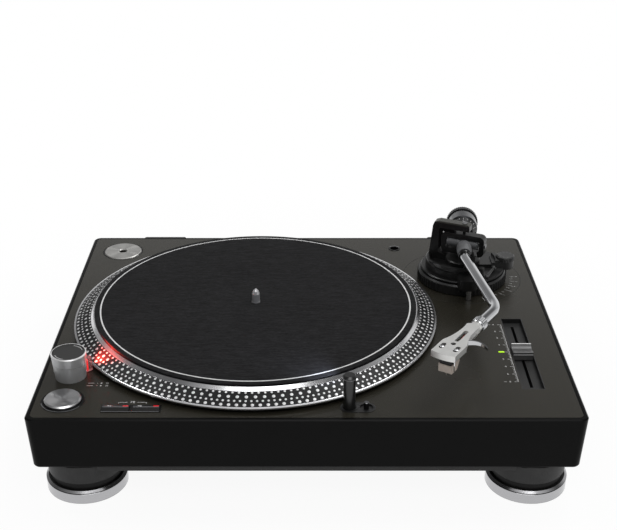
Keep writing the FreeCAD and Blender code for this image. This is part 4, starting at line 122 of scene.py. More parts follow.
# Platter's slope as radius and height, and each row of dots on it as radius, count and size
SLOPE_TOP = (150.4, 11.6)
SLOPE_FOOT = (164.6, 5.0)
STROBE_ROWS = [(151.6, 180, 1.0), (155.2, 133, 1.42), (158.8, 216, 1.0), (162.3, 160, 1.42)]
DOT_HIGH = 0.22

# Slipmat
MAT_HOLE = 4.25
MAT_RADIUS = 147.1
MAT_LOW = 14.72
MAT_THICK = 1.22

# Printed marks
LINE = 0.4
PRINT = 0.05
WORD_LIFT = 0.02
CAP_SHARE = 0.7

# Where a finish changes on its part, as heights, radii or distances from the pivot
FOOT_SHADED_NECK = 18.4
FOOT_CHROME = (0.3, 12.15)
FOOT_GROOVE_SHADE = (9.8, 10.5)
FOOT_RIM = (0.3, 1.0)
PLATTER_BAND = (SLOPE_TOP[0], 164.2)
PLATTER_SHADED_FOOT = 3.5
MAT_LINE = (140.8, 142.1)
DIAL_FACE = 13.7
DIAL_RIM = (13.75, 15)
DIAL_EDGE = 0.85
LAMP_BUTTON_HIGHLIGHT = 0.35
LAMP_HIGHLIGHT_RING = (3.6, 2.7)
BOARD_TOP = 46.0
BEAM_HIGHLIGHT_DEPTH = 1.6
BRACKET_RADIUS = 17
HEAD_SPARE = 0.05
SLOT_HALF = 0.4
TUBE_FERRULE = (20, 36)
WEIGHT_BAND = (32.8, 49.45)


# Places and directions
def deck(x, y, h=0.0):
    return Vector((x, y - DECK_BACK, h + DECK_HIGH)) * MM


def forward(yaw):
    """Unit vector that points forward, turned to the left by yaw degrees."""
    turn = math.radians(yaw)
    return Vector((-math.sin(turn), -math.cos(turn), 0))


def rightward(yaw):
    turn = math.radians(yaw)
    return Vector((math.cos(turn), -math.sin(turn), 0))


def lift_matrix():
    """The arm's raise in its rest, about the gimbal's cross axis."""
    pivot = deck(*PIVOT)
    turn = Matrix.Rotation(math.radians(-REST_LIFT), 4, rightward(GIMBAL_YAW))
    return Matrix.Translation(pivot) @ turn @ Matrix.Translation(-pivot)


def head_point(back, right, rise):
    """Point on the level head, from its front edge, its middle line and the tube's axis."""
    ahead = forward(HEAD_YAW)
    second_bend = Vector(PIVOT) + forward(HOLDER_YAW) * HOLDER_RUN + forward(TUBE_YAW) * TUBE_RUN
    front = second_bend + ahead * HEAD_RUN + ahead * HEAD_REACH
    return deck(*(front - ahead * back + rightward(HEAD_YAW) * right + UP * rise))


def around(centre, radius, degrees, height=0.0):
    angle = math.radians(degrees)
    return deck(centre[0] + radius * math.cos(angle), centre[1] + radius * math.sin(angle), height)


def from_tower(away, aside, height):
    """Point between tower and platter, by its distance from the tower and from their line."""
    side = Vector((TO_PLATTER.y, -TO_PLATTER.x, 0))
    spot = Vector((*TOWER, 0)) + TO_PLATTER * away + side * aside
    return deck(spot.x, spot.y, height)


# Materials
# Where most of a noise's values lie
NOISE_RANGE = (0.25, 0.75)


def tone(red, green, blue):
    """Linear colour from a display colour of 0 to 255."""
    values = []
    for value in (red, green, blue):
        share = value / 255
        values.append(share / 12.92 if share <= 0.04045 else ((share + 0.055) / 1.055) ** 2.4)
    return (*values, 1.0)


class Graph:
    """Short ways to add and join shader nodes."""

    def __init__(self, tree):
        self.tree = tree

    def node(self, kind, **settings):
        made = self.tree.nodes.new(kind)
        for key, value in settings.items():
            setattr(made, key, value)
        return made

    def feed(self, socket, value):
        if isinstance(value, bpy.types.NodeSocket):
            self.tree.links.new(value, socket)
        else:
            socket.default_value = value

    def calc(self, operation, first, second=0.0, clamp=False):
        made = self.node("ShaderNodeMath", operation=operation, use_clamp=clamp)
        self.feed(made.inputs[0], first)
        self.feed(made.inputs[1], second)
        return made.outputs[0]

    def both(self, first, second):
        return self.calc("MULTIPLY", first, second)

    def vector(self, operation, first, second=(0, 0, 0)):
        made = self.node("ShaderNodeVectorMath", operation=operation)
        self.feed(made.inputs[0], first)
        self.feed(made.inputs[1], second)
        return made.outputs

    def ramp(self, value, low, high, start=0.0, end=1.0):
        """Smooth change from start to end as a value goes from low to high."""
        made = self.node("ShaderNodeMapRange", interpolation_type="SMOOTHSTEP")
        for index, number in enumerate((value, low, high, start, end)):
            self.feed(made.inputs[index], number)
        return made.outputs[0]

    def split(self, vector):
        made = self.node("ShaderNodeSeparateXYZ")
        self.feed(made.inputs[0], vector)
        return made.outputs


class Finish(Graph):
    """One procedural material, built up step by step."""

    def __init__(self, name, colour, roughness, metallic=0.0, specular=0.5):
        self.material = bpy.data.materials.new(name)
        self.material.use_nodes = True
        super().__init__(self.material.node_tree)
        self.shader = self.tree.nodes["Principled BSDF"]
        self.shader.inputs["Specular IOR Level"].default_value = specular
        self.place = self.node("ShaderNodeTexCoord").outputs["Object"]
        self.colour = colour
        self.roughness = roughness
        self.metallic = metallic
        self.normal = None

    def blend(self, share, first, second):
        """Mix of two colours."""
        made = self.node("ShaderNodeMix", data_type="RGBA")
        self.feed(made.inputs[0], share)
        self.feed(made.inputs[6], first)
        self.feed(made.inputs[7], second)
        return made.outputs[2]

    def between(self, share, first, second):
        """Mix of two numbers."""
        made = self.node("ShaderNodeMix", data_type="FLOAT")
        self.feed(made.inputs[0], share)
        self.feed(made.inputs[2], first)
        self.feed(made.inputs[3], second)
        return made.outputs[0]

    def cloud(self, scale, stretch=(1, 1, 1), detail=3.0):
        """Noise from 0 to 1 with scale features in a metre."""
        mapping = self.node("ShaderNodeMapping")
        mapping.inputs["Scale"].default_value = stretch
        self.feed(mapping.inputs["Vector"], self.place)
        made = self.node("ShaderNodeTexNoise")
        made.inputs["Scale"].default_value = scale
        made.inputs["Detail"].default_value = detail
        self.feed(made.inputs["Vector"], mapping.outputs["Vector"])
        return made.outputs[0]

    def mottle(self, scale, amount, stretch=(1, 1, 1)):
        """Uneven colour: darker and lighter by a share of itself."""
        factor = self.node("ShaderNodeMapRange")
        limits = (*NOISE_RANGE, 1 - amount, 1 + amount)
        for index, value in enumerate((self.cloud(scale, stretch), *limits)):
            self.feed(factor.inputs[index], value)
        scaled = self.node("ShaderNodeVectorMath", operation="SCALE")
        linked = isinstance(self.colour, bpy.types.NodeSocket)
        self.feed(scaled.inputs[0], self.colour if linked else self.colour[:3])
        self.feed(scaled.inputs["Scale"], factor.outputs[0])
        self.colour = scaled.outputs[0]
        return self

    def wear(self, scale, amount):
        """Uneven gloss."""
        shift = self.calc("MULTIPLY_ADD", self.cloud(scale), 2 * amount)
        shift.node.inputs[2].default_value = -amount
        self.roughness = self.calc("ADD", shift, self.roughness, clamp=True)
        return self

    def grain(self, scale, height, stretch=(1, 1, 1), detail=3.0):
        """Fine relief, height in millimetres."""
        made = self.node("ShaderNodeBump")
        made.inputs["Distance"].default_value = height * MM
        made.inputs["Strength"].default_value = 1.0
        self.feed(made.inputs["Height"], self.cloud(scale, stretch, detail))
        self.normal = made.outputs["Normal"]
        return self

    def axis(self, index):
        return self.split(self.place)[index]

    def offset(self, start):
        return self.vector("SUBTRACT", self.place, start)["Vector"]

    def along(self, start, direction):
        """Distance from a point along a direction, in metres."""
        return self.vector("DOT_PRODUCT", self.offset(start), direction)["Value"]

    def beside(self, start, direction):
        """Distance from a line through a point, in metres."""
        cross = self.vector("CROSS_PRODUCT", self.offset(start), direction)["Vector"]
        return self.vector("LENGTH", cross)["Value"]

    def radius(self, centre):
        """Distance from a vertical axis on the deck, in metres."""
        foot = deck(centre[0], centre[1])
        across = self.calc("SUBTRACT", self.axis(0), foot.x)
        along = self.calc("SUBTRACT", self.axis(1), foot.y)
        squares = self.calc("ADD", self.both(across, across), self.both(along, along))
        return self.calc("SQRT", squares)

    def above(self, value, limit):
        """1 where a distance is over a limit in millimetres, else 0."""
        return self.calc("GREATER_THAN", value, limit * MM)

    def below(self, value, limit):
        """1 where a distance is under a limit in millimetres, else 0."""
        return self.calc("LESS_THAN", value, limit * MM)

    def within(self, value, low, high):
        """1 where a distance lies between two limits in millimetres, else 0."""
        return self.both(self.above(value, low), self.below(value, high))

    def paint(self, mask, colour, roughness, metallic=None):
        """Another finish where the mask is 1."""
        self.colour = self.blend(mask, self.colour, colour)
        self.roughness = self.between(mask, self.roughness, roughness)
        if metallic is not None:
            self.metallic = self.between(mask, self.metallic, metallic)
        return self

    def brushed_round(self, amount):
        """Fine turned lines about the piece's own upright middle."""
        tangent = self.node("ShaderNodeTangent", direction_type="RADIAL", axis="Z")
        self.feed(self.shader.inputs["Tangent"], tangent.outputs[0])
        self.shader.inputs["Anisotropic"].default_value = amount
        return self

    def glow(self, colour, strength):
        self.shader.inputs["Emission Color"].default_value = colour
        self.shader.inputs["Emission Strength"].default_value = strength
        return self

    def done(self):
        self.feed(self.shader.inputs["Base Color"], self.colour)
        self.feed(self.shader.inputs["Roughness"], self.roughness)
        self.feed(self.shader.inputs["Metallic"], self.metallic)
        if self.normal is not None:
            self.feed(self.shader.inputs["Normal"], self.normal)
        return self.material


def satin_plastic(name, shade, roughness=0.42, specular=0.4):
    finish = Finish(name, tone(shade, shade, shade), roughness, specular=specular)
    return finish.mottle(160, 0.12).wear(90, 0.06).grain(2600, 0.012).done()


def plain_metal(name, colour, roughness, grain=0.004):
    finish = Finish(name, colour, roughness, metallic=1.0)
    return finish.mottle(60, 0.05).wear(140, 0.05).grain(1800, grain).done()


def even_look(name, colour, roughness, mottle, grain, metallic=0.0):
    """Finish without wear, whose mottle and grain are each a scale and an amount."""
    return Finish(name, colour, roughness, metallic).mottle(*mottle).grain(*grain).done()


def dyed(name, colour, roughness, scale, amount):
    """Smooth coloured print or plastic, mottled by an amount at a scale."""
    return Finish(name, colour, roughness).mottle(scale, amount).done()


def print_finish(name, shade):
    return dyed(name, tone(shade, shade, shade), 0.6, 600, 0.08)


def lit(name, colour, roughness, light, strength):
    """Coloured plastic with a light behind it."""
    return Finish(name, colour, roughness).mottle(500, 0.1).glow(light, strength).done()


def deck_finish(name):
    """Satin olive-grey coating of the top panel and of the scale plate in it."""
    finish = Finish(name, tone(36, 34, 28), 0.27, specular=0.42)
    finish.shader.inputs["Specular Tint"].default_value = (1.0, 0.985, 0.93, 1.0)
    return finish.mottle(25, 0.05).wear(12, 0.02).grain(3200, 0.003).done()


def plinth_finish():
    finish = Finish("plinth_look", tone(9, 9, 9), 0.3, specular=0.07)
    return finish.mottle(20, 0.1).wear(15, 0.04).grain(2800, 0.004).done()


def platter_finish():
    """Polished step and lip, with a black band for the dots between them and a black foot that is
    partly the platter's own dark side and partly painted shade under the lip.
    """
    finish = Finish("platter_look", tone(222, 222, 224), 0.2, metallic=1.0, specular=0.2)
    finish.mottle(90, 0.06).wear(200, 0.04)
    band = finish.within(finish.radius(PLATTER), *PLATTER_BAND)
    # Partly painted shade: the foot below the lip is black partly as its own dark side and partly for
    # the shade under the lip.
    foot = finish.below(finish.axis(2), DECK_HIGH + PLATTER_SHADED_FOOT)
    finish.paint(finish.calc("MAXIMUM", band, foot), tone(14, 14, 15), 0.4, 0.0)
    return finish.brushed_round(0.5).done()


def foot_finish():
    """Dark grey body over a neck painted black as shade in its undercut, and a chromed band with a fine
    line painted dark as shade in its groove, and a dull rim.
    """
    finish = Finish("foot_look", tone(44, 44, 44), 0.5, specular=0.3)
    finish.mottle(150, 0.15).grain(2200, 0.02)
    height = finish.axis(2)
    # Painted shade: the neck under the body is coloured black for the shade in its undercut.
    finish.paint(finish.below(height, FOOT_SHADED_NECK), tone(9, 9, 9), 0.6)
    chrome = finish.within(height, *FOOT_CHROME)
    # Painted shade: a fine dark line across the chrome band for the shade in its groove.
    line = finish.within(height, *FOOT_GROOVE_SHADE)
    bright = finish.calc("SUBTRACT", chrome, line, clamp=True)
    finish.paint(bright, tone(178, 178, 180), 0.16, 1.0)
    return finish.paint(finish.within(height, *FOOT_RIM), tone(96, 96, 97), 0.3, 1.0).done()


def dial_finish(name):
    """Satin grey side with a dark top inside a bright rim."""
    finish = Finish(name, tone(172, 173, 174), 0.38, metallic=0.4)
    finish.mottle(120, 0.04).wear(200, 0.05).grain(2400, 0.004)
    radius = finish.radius(TOWER)
    top = finish.above(finish.axis(2), DECK_HIGH + top_of("power_dial") - DIAL_EDGE)
    inside = finish.below(radius, DIAL_FACE)
    finish.paint(finish.both(top, inside), tone(34, 34, 33), 0.55, 0.0)
    rim = finish.both(top, finish.within(radius, *DIAL_RIM))
    return finish.paint(rim, tone(250, 250, 250), 0.3, 0.6).done()


def spun_finish(name, colour, roughness):
    """Face-turned metal whose light gathers in rays."""
    finish = Finish(name, colour, roughness, metallic=1.0)
    return finish.mottle(80, 0.05).wear(260, 0.04).brushed_round(0.9).done()


def key_finish():
    """Dark key top over a black front."""
    finish = Finish("key_look", tone(18, 18, 19), 0.36, specular=0.3)
    finish.mottle(160, 0.1).wear(90, 0.05).grain(2600, 0.01)
    front = KEYS["33"][1] - KEY_DEPTH / 2 + KEY_LIP - 0.3 - DECK_BACK
    return finish.paint(finish.below(finish.axis(1), front), tone(7, 7, 7), 0.3).done()


def lamp_button_finish():
    """Black plastic with a painted highlight along its top edge."""
    finish = Finish("lamp_key_look", tone(16, 16, 16), 0.28, specular=0.5)
    finish.mottle(160, 0.12).grain(2600, 0.01)
    # Painted highlight: the top edge is coloured bright grey metal where light catches it.
    edge = finish.above(finish.axis(2), DECK_HIGH + top_of("lamp_button") - LAMP_BUTTON_HIGHLIGHT)
    return finish.paint(edge, tone(120, 120, 122), 0.25, 0.8).done()


def lamp_finish():
    """Gloss black barrel with a painted reflection as a bright ring under its cap."""
    finish = Finish("lamp_look", tone(14, 14, 14), 0.3, specular=0.6)
    finish.mottle(160, 0.12).wear(90, 0.04)
    top = DECK_HIGH + top_of("popup_lamp")
    # Painted reflection: a bright ring under the cap where its chamfer catches the light.
    ring = finish.within(finish.axis(2), top - LAMP_HIGHLIGHT_RING[0], top - LAMP_HIGHLIGHT_RING[1])
    return finish.paint(ring, tone(150, 150, 152), 0.4, 0.3).done()


def felt_finish():
    """Dark brushed felt with a printed line near its rim."""
    finish = Finish("felt_look", tone(27, 27, 28), 0.93, specular=0.06)
    finish.mottle(900, 0.6, (0.35, 1.6, 1)).mottle(300, 0.5, (0.3, 1.6, 1)).mottle(12, 0.1)
    finish.grain(1500, 0.12, (0.4, 1.5, 1), 6.0)
    finish.paint(finish.within(finish.radius(PLATTER), *MAT_LINE), tone(205, 205, 205), 0.8)
    finish.shader.inputs["Sheen Weight"].default_value = 0.05
    finish.shader.inputs["Sheen Roughness"].default_value = 0.5
    return finish.done()


def lens_finish():
    finish = Finish("lens_look", tone(255, 200, 200), 0.08)
    finish.shader.inputs["Transmission Weight"].default_value = 0.85
    finish.shader.inputs["IOR"].default_value = 1.49
    return finish.wear(300, 0.03).done()


def board_finish():
    """Green board with what stands on it in black."""
    finish = Finish("board_look", tone(24, 84, 52), 0.4)
    finish.mottle(300, 0.25, (1, 3, 1)).wear(200, 0.1)
    return finish.paint(finish.above(finish.axis(2), BOARD_TOP), tone(28, 28, 30), 0.5).done()


def arm_black_finish():
    """Black arm base, frame and gimbal, with the beam's top painted lighter as a highlight, a greyer
    bracket, and bright pin and screws.
    """
    finish = Finish("base_look", tone(19, 19, 19), 0.34, specular=0.4)
    finish.mottle(160, 0.12).wear(90, 0.06).grain(2600, 0.012)
    height = finish.axis(2)
    frame_top = top_of("arm_frame") - PIVOT_HEAD
    # Painted highlight: the top of the beam is coloured lighter where it catches the light.
    finish.paint(finish.above(height, DECK_HIGH + frame_top - BEAM_HIGHLIGHT_DEPTH), tone(62, 62, 58), 0.4)
    finish.paint(finish.below(finish.radius(ANTISKATE), BRACKET_RADIUS), tone(36, 36, 36), 0.42)
    pin = finish.both(finish.below(height, DECK_HIGH + PIN_TOP),
                      finish.below(finish.radius(PIN), PIN_RADIUS))
    finish.paint(pin, tone(205, 205, 207), 0.2, 1.0)
    pivot = deck(*PIVOT)
    across = rightward(GIMBAL_YAW)
    reach = finish.calc("ABSOLUTE", finish.along(pivot, across))
    side_heads = finish.both(finish.above(reach, GIMBAL_HALF + HEAD_SPARE),
                             finish.below(finish.beside(pivot, across), PIVOT_SCREW + HEAD_SPARE))
    top_head = finish.above(finish.along(pivot, UP), frame_top - PIVOT[2] + HEAD_SPARE)
    heads = finish.calc("MAXIMUM", side_heads, top_head)
    finish.paint(heads, tone(150, 150, 152), 0.25, 1.0)
    off_slot = finish.calc("ABSOLUTE", finish.along(pivot, forward(GIMBAL_YAW)))
    slots = finish.both(heads, finish.below(off_slot, SLOT_HALF))
    return finish.paint(slots, tone(12, 12, 12), 0.6, 0.0).done()


def tube_finish():
    """Chromed tube with a black ferrule where it leaves the holder."""
    finish = Finish("tube_look", tone(190, 191, 193), 0.09, metallic=1.0)
    finish.mottle(60, 0.05).wear(140, 0.02).grain(1800, 0.0005)
    ahead = finish.along(deck(*PIVOT), forward(HOLDER_YAW))
    return finish.paint(finish.within(ahead, *TUBE_FERRULE), tone(16, 16, 16), 0.2, 0.0).done()


def weight_finish():
    """Black knurled weight with a polished dark band in front."""
    finish = Finish("weight_look", tone(22, 22, 23), 0.4, specular=0.35)
    finish.mottle(140, 0.1).grain(2600, 0.01)
    behind = finish.along(deck(*PIVOT), -forward(HOLDER_YAW))
    return finish.paint(finish.within(behind, *WEIGHT_BAND), tone(74, 75, 77), 0.16, 1.0).done()


def slot_looks():
    """The finish of each of the frame's material slots."""
    steel = tone(168, 168, 170)
    brass = tone(190, 150, 88)
    return {
        "plinth_black": plinth_finish(),
        "top_plate": deck_finish("top_plate_look"),
        "cover_steel": satin_plastic("cover_look", 34, 0.55),
        "screw_steel": plain_metal("screw_look", steel, 0.3),
        "motor_steel": plain_metal("motor_look", steel, 0.42),
        "bearing_brass": plain_metal("bearing_look", brass, 0.3),
        "board": board_finish(),
        "black_plastic": satin_plastic("black_plastic_look", 26),
        "jack_metal": plain_metal("jack_look", tone(205, 190, 150), 0.25),
        "trim_chrome": satin_plastic("trim_look", 9, 0.3, 0.25),
        "cup_black": satin_plastic("cup_look", 20, 0.4),
        "lamp_trim": satin_plastic("lamp_trim_look", 30, 0.3, 0.5),
        "tower_grey": dial_finish("tower_look"),
        "lens_red": lens_finish(),
        "scale_black": deck_finish("scale_look"),
        "pillar_metal": plain_metal("pillar_look", tone(60, 60, 62), 0.4),
        "foot_rubber": foot_finish(),
        "platter_metal": platter_finish(),
        "spindle_chrome": even_look("spindle_look", tone(190, 190, 192), 0.3, (60, 0.05), (1800, 0.001),
                                    metallic=0.7),
        "magnet": satin_plastic("magnet_look", 40, 0.5),
        "felt": felt_finish(),
        "adapter_metal": spun_finish("adapter_look", tone(196, 195, 192), 0.3),
        "dial_grey": dial_finish("dial_look"),
        "button_metal": spun_finish("button_look", tone(205, 205, 206), 0.24),
        "key_metal": key_finish(),
        "lamp_black": lamp_finish(),
        "lamp_key": lamp_button_finish(),
        "fader_knob": satin_plastic("fader_look", 64, 0.3, 0.6),
        "ring_black": satin_plastic("ring_look", 20, 0.38, 0.5),
        "base_black": arm_black_finish(),
        "antiskate_black": satin_plastic("antiskate_look", 40, 0.38, 0.5),
        "lever_black": satin_plastic("lever_look", 26, 0.3, 0.5),
        "hub_grey": even_look("hub_look", tone(104, 105, 107), 0.4, (150, 0.06), (2600, 0.006),
                              metallic=0.3),
        "tube_chrome": tube_finish(),
        "collar_metal": plain_metal("collar_look", tone(200, 201, 203), 0.2),
        "shell_silver": plain_metal("shell_look", tone(216, 216, 214), 0.42, 0.008),
        "cartridge_black": satin_plastic("cartridge_look", 20, 0.35),
        "stylus_beige": even_look("stylus_look", tone(196, 184, 174), 0.35, (120, 0.05), (2000, 0.01)),
        "sleeve_brass": plain_metal("sleeve_look", brass, 0.3),
        "weight_metal": weight_finish(),
        "force_black": satin_plastic("force_look", 30, 0.3, 0.5),
    }


def dress_frame():
    """Put each slot's finish on the frame's own nodes."""
    looks = slot_looks()
    for node in NODES.values():
        for index, material in enumerate(node.data.materials):
            name = material.name.split(".")[0]
            node.data.materials[index] = looks[name]
    return looks


# Building pieces
def piece(name, points, faces, material, body, smooth=True):
    mesh = bpy.data.meshes.new(name)
    mesh.from_pydata([tuple(point) for point in points], [], faces)
    mesh.validate()
    mesh.update()
    mesh.materials.append(material)
    made = bpy.data.objects.new(name, mesh)
    bpy.context.scene.collection.objects.link(made)
    if smooth:
        mesh.shade_smooth()
    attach(made, body)
    return made


def circle(across, along, sides):
    """Unit directions at even steps, from across towards along."""
    angles = [2 * math.pi * index / sides for index in range(sides)]
    return [across * math.cos(angle) + along * math.sin(angle) for angle in angles]


def ring_faces(rows, sides, closed=False):
    """Faces that join each ring of points to the next, and the last to the first if closed."""
    faces = []
    for row in range(rows if closed else rows - 1):
        above = (row + 1) % rows
        for index in range(sides):
            following = (index + 1) % sides
            faces.append((row * sides + index, row * sides + following,
                          above * sides + following, above * sides + index))
    return faces


class Heap:
    """Points and faces of many small forms that make up one piece."""

    def __init__(self):
        self.points = []
        self.faces = []

    def add(self, points, faces):
        first = len(self.points)
        self.points.extend(points)
        self.faces.extend([tuple(first + index for index in face) for face in faces])

    def bar(self, start, end, width, thickness, up=UP):
        """Flat bar from start to end that stands proud of its surface by thickness."""
        run = (end - start).normalized()
        side = run.cross(up).normalized() * (width / 2 * MM)
        lift = up * (thickness * MM)
        base = [start - side, start + side, end + side, end - side]
        self.add(base + [point + lift for point in base],
                 [(0, 3, 2, 1), (4, 5, 6, 7), (0, 1, 5, 4), (1, 2, 6, 5), (2, 3, 7, 6), (3, 0, 4, 7)])

    def dome(self, centre, up, radius, height, sides=12):
        """Low round button on a surface."""
        across = up.orthogonal().normalized()
        rim = circle(across, up.cross(across), sides)
        points = [centre + up * (height * MM)]
        for share, rise in ((0.55, 0.82), (0.88, 0.45), (1.0, 0.0)):
            points += [centre + out * (radius * share * MM) + up * (height * rise * MM) for out in rim]
        faces = [(0, 1 + index, 1 + (index + 1) % sides) for index in range(sides)]
        for low in (1, 1 + sides):
            for index in range(sides):
                following = low + (index + 1) % sides
                faces.append((low + index, low + sides + index, sides + following, following))
        self.add(points, faces)

    def arc(self, centre, radius, start, end, width, height, thickness, steps=48):
        """Flat curved line at a height, between two angles in degrees."""
        points = []
        for index in range(steps + 1):
            degrees = start + (end - start) * index / steps
            for reach in (radius - width / 2, radius + width / 2):
                points.append(around(centre, reach, degrees, height))
                points.append(around(centre, reach, degrees, height + thickness))
        faces = []
        for here in range(0, 4 * steps, 4):
            ahead = here + 4
            faces += [(here + 1, here + 3, ahead + 3, ahead + 1), (here, here + 1, ahead + 1, ahead),
                      (here + 2, ahead + 2, ahead + 3, here + 3)]
        self.add(points, faces)

    def words(self, text, height, centre, right, up):
        """Raised characters, height tall, round a centre and read along right."""
        curve = bpy.data.curves.new("words", "FONT")
        curve.body = text
        curve.size = height / CAP_SHARE * MM
        curve.align_x = "CENTER"
        curve.align_y = "CENTER"
        curve.extrude = WORD_LIFT * MM
        curve.resolution_u = 3
        holder = bpy.data.objects.new("words", curve)
        bpy.context.scene.collection.objects.link(holder)
        bpy.context.view_layer.update()
        settled = holder.evaluated_get(bpy.context.evaluated_depsgraph_get())
        mesh = bpy.data.meshes.new_from_object(settled)
        turn = Matrix((right, up, right.cross(up))).transposed().to_4x4()
        turn.translation = centre
        self.add([turn @ vertex.co for vertex in mesh.vertices],
                 [tuple(face.vertices) for face in mesh.polygons])
        bpy.data.objects.remove(holder)
        bpy.data.meshes.remove(mesh)
        bpy.data.curves.remove(curve)

    def turned(self, profile, start, axis, sides):
        """Turned form from (radius, distance along the axis) corners."""
        across = axis.orthogonal().normalized()
        rim = circle(across, axis.cross(across), sides)
        points = []
        for radius, distance in profile:
            points += [start + out * (radius * MM) + axis * (distance * MM) for out in rim]
        self.add(points, ring_faces(len(profile), sides))

    def tube(self, places, radius, sides=10):
        """Round wire through the given places."""
        points = []
        for index, place in enumerate(places):
            before = places[max(index - 1, 0)]
            after = places[min(index + 1, len(places) - 1)]
            run = (after - before).normalized()
            across = run.cross(UP)
            if across.length < 0.1:
                across = run.cross(RIGHT)
            across.normalize()
            points += [place + out * (radius * MM) for out in circle(across, run.cross(across), sides)]
        last = len(points) - sides
        caps = [tuple(range(sides - 1, -1, -1)), tuple(range(last, last + sides))]
        self.add(points, ring_faces(len(places), sides) + caps)

    def made(self, name, material, body, smooth=True, lifted=False):
        points = self.points
        if lifted:
            raise_arm = lift_matrix()
            points = [raise_arm @ point for point in points]
        return piece(name, points, self.faces, material, body, smooth)


def one_bar(name, start, end, width, thickness, material, body, up=UP):
    """Piece of one flat bar."""
    heap = Heap()
    heap.bar(start, end, width, thickness, up)
    heap.made(name, material, body, smooth=False)


# Platter
def strobe_dots(material):
    """Four rows of bright buttons on the platter's sloped rim."""
    run = SLOPE_FOOT[0] - SLOPE_TOP[0]
    fall = SLOPE_TOP[1] - SLOPE_FOOT[1]
    sink = 0.02
    heap = Heap()
    for radius, count, size in STROBE_ROWS:
        height = SLOPE_TOP[1] - (radius - SLOPE_TOP[0]) * fall / run
        for index in range(count):
            degrees = 360 * (index + 0.5) / count
            angle = math.radians(degrees)
            up = Vector((fall * math.cos(angle), fall * math.sin(angle), run)).normalized()
            heap.dome(around(PLATTER, radius, degrees, height - sink), up, size, DOT_HIGH)
    heap.made("strobe_dots", material, "platter_body")


def slipmat(material):
    """Felt disc that lies on the platter, with a soft rim and a faint unevenness."""
    rings = 46
    sides = 288
    unevenness = 0.05
    profile = [(MAT_HOLE, 0.1), (MAT_HOLE + 0.2, MAT_THICK - 0.25)]
    for index in range(rings + 1):
        radius = MAT_HOLE + 0.6 + (MAT_RADIUS - MAT_HOLE - 1.2) * index / rings
        profile.append((radius, MAT_THICK - 0.06))
    profile += [(MAT_RADIUS - 0.2, MAT_THICK - 0.28), (MAT_RADIUS, MAT_THICK * 0.5),
                (MAT_RADIUS - 0.3, 0.12), (MAT_RADIUS - 1.0, 0.0), (MAT_HOLE + 1.0, 0.0)]
    points = []
    for radius, height in profile:
        for index in range(sides):
            spot = around(PLATTER, radius, 360 * index / sides, MAT_LOW + height)
            if height > MAT_THICK * 0.7:
                spot.z += unevenness * MM * noise.noise(spot * 55)
            points.append(spot)
    mat = piece("felt_mat", points, ring_faces(len(profile), sides, closed=True), material, "mat")
    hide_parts("slipmat")


# Marks and lamps on the deck
def tempo_scale(heap):
    """Ticks, numbers and end marks on a long line beside the tempo fader."""
    spine = 177.6
    half = 50
    tick = 2.5
    number_x = 170.6
    end_mark = (165.6, 167.6)
    front = FADER[1] - half
    back = FADER[1] + half
    for index in range(round(2 * half / tick) + 1):
        y = front + index * tick
        length = 3.4 if index % 5 == 0 else 1.5
        heap.bar(deck(spine - length, y), deck(spine, y), 0.42, PRINT)
    heap.bar(deck(spine, front), deck(spine, back), 0.35, PRINT)
    for index, number in enumerate((8, 6, 4, 2, 0, 2, 4, 6, 8)):
        if number:
            y = front + index * 5 * tick
            heap.words(str(number), 2.3, deck(number_x, y, WORD_LIFT), RIGHT, BACK)
    for y in (front, back):
        heap.bar(deck(end_mark[0], y), deck(end_mark[1], y), LINE, PRINT)


def key_bracket(heap):
    """Number between two lines whose bent ends point at the speed keys."""
    x = KEY_BEZEL[0]
    y = 26.4
    near = 3.8
    far = 11.3
    for side in (-1, 1):
        ends = sorted((x + side * near, x + side * far))
        heap.bar(deck(ends[0], y), deck(ends[1], y), LINE, PRINT)
        heap.bar(deck(x + side * far, y + 0.2), deck(x + side * far, y - 1.8), LINE, PRINT)
    heap.words("78", 2.8, deck(x, y + 0.1, WORD_LIFT), RIGHT, BACK)


def dot_legend(heap):
    """Two small rows with a line, a small dot, a large dot and a speed."""
    line = 5.2
    for speed, x, y in (("45", -182.6, 56.2), ("33", -183.2, 52.2)):
        heap.bar(deck(x, y), deck(x + line, y), LINE, PRINT)
        heap.words(speed, 1.9, deck(-166.4, y, WORD_LIFT), RIGHT, BACK)
        heap.dome(deck(-171.4, y), UP, 0.75, PRINT)
        heap.dome(deck(-174.6, y), UP, 0.35, PRINT)


def deck_marks(white):
    """Printed scales and numbers on the top panel."""
    heap = Heap()
    tempo_scale(heap)
    key_bracket(heap)
    dot_legend(heap)
    heap.made("deck_marks", white, "base", smooth=False)


def arm_scale(white, dark):
    """Height scale round the arm, inside the dark joint at its plate's edge."""
    plate_edge = 57.75
    ticks_from = 47.6
    numbers_at = 54.2
    heap = Heap()
    heap.arc(PIVOT, plate_edge, 0, 360, 0.5, 0.0, 0.03, steps=120)
    heap.made("scale_joint", dark, "base", smooth=False)
    heap = Heap()
    for index in range(13):
        degrees = -72 + index * 6
        long = index % 2 == 0
        ticks_to = 52.2 if long else 50.4
        heap.bar(around(PIVOT, ticks_from, degrees), around(PIVOT, ticks_to, degrees), LINE, PRINT)
        if long:
            angle = math.radians(degrees)
            out = Vector((math.cos(angle), math.sin(angle), 0))
            heap.words(str(index // 2), 2.0, around(PIVOT, numbers_at, degrees, WORD_LIFT),
                       Vector((-out.y, out.x, 0)), -out)
    heap.made("height_scale", white, "base", smooth=False)


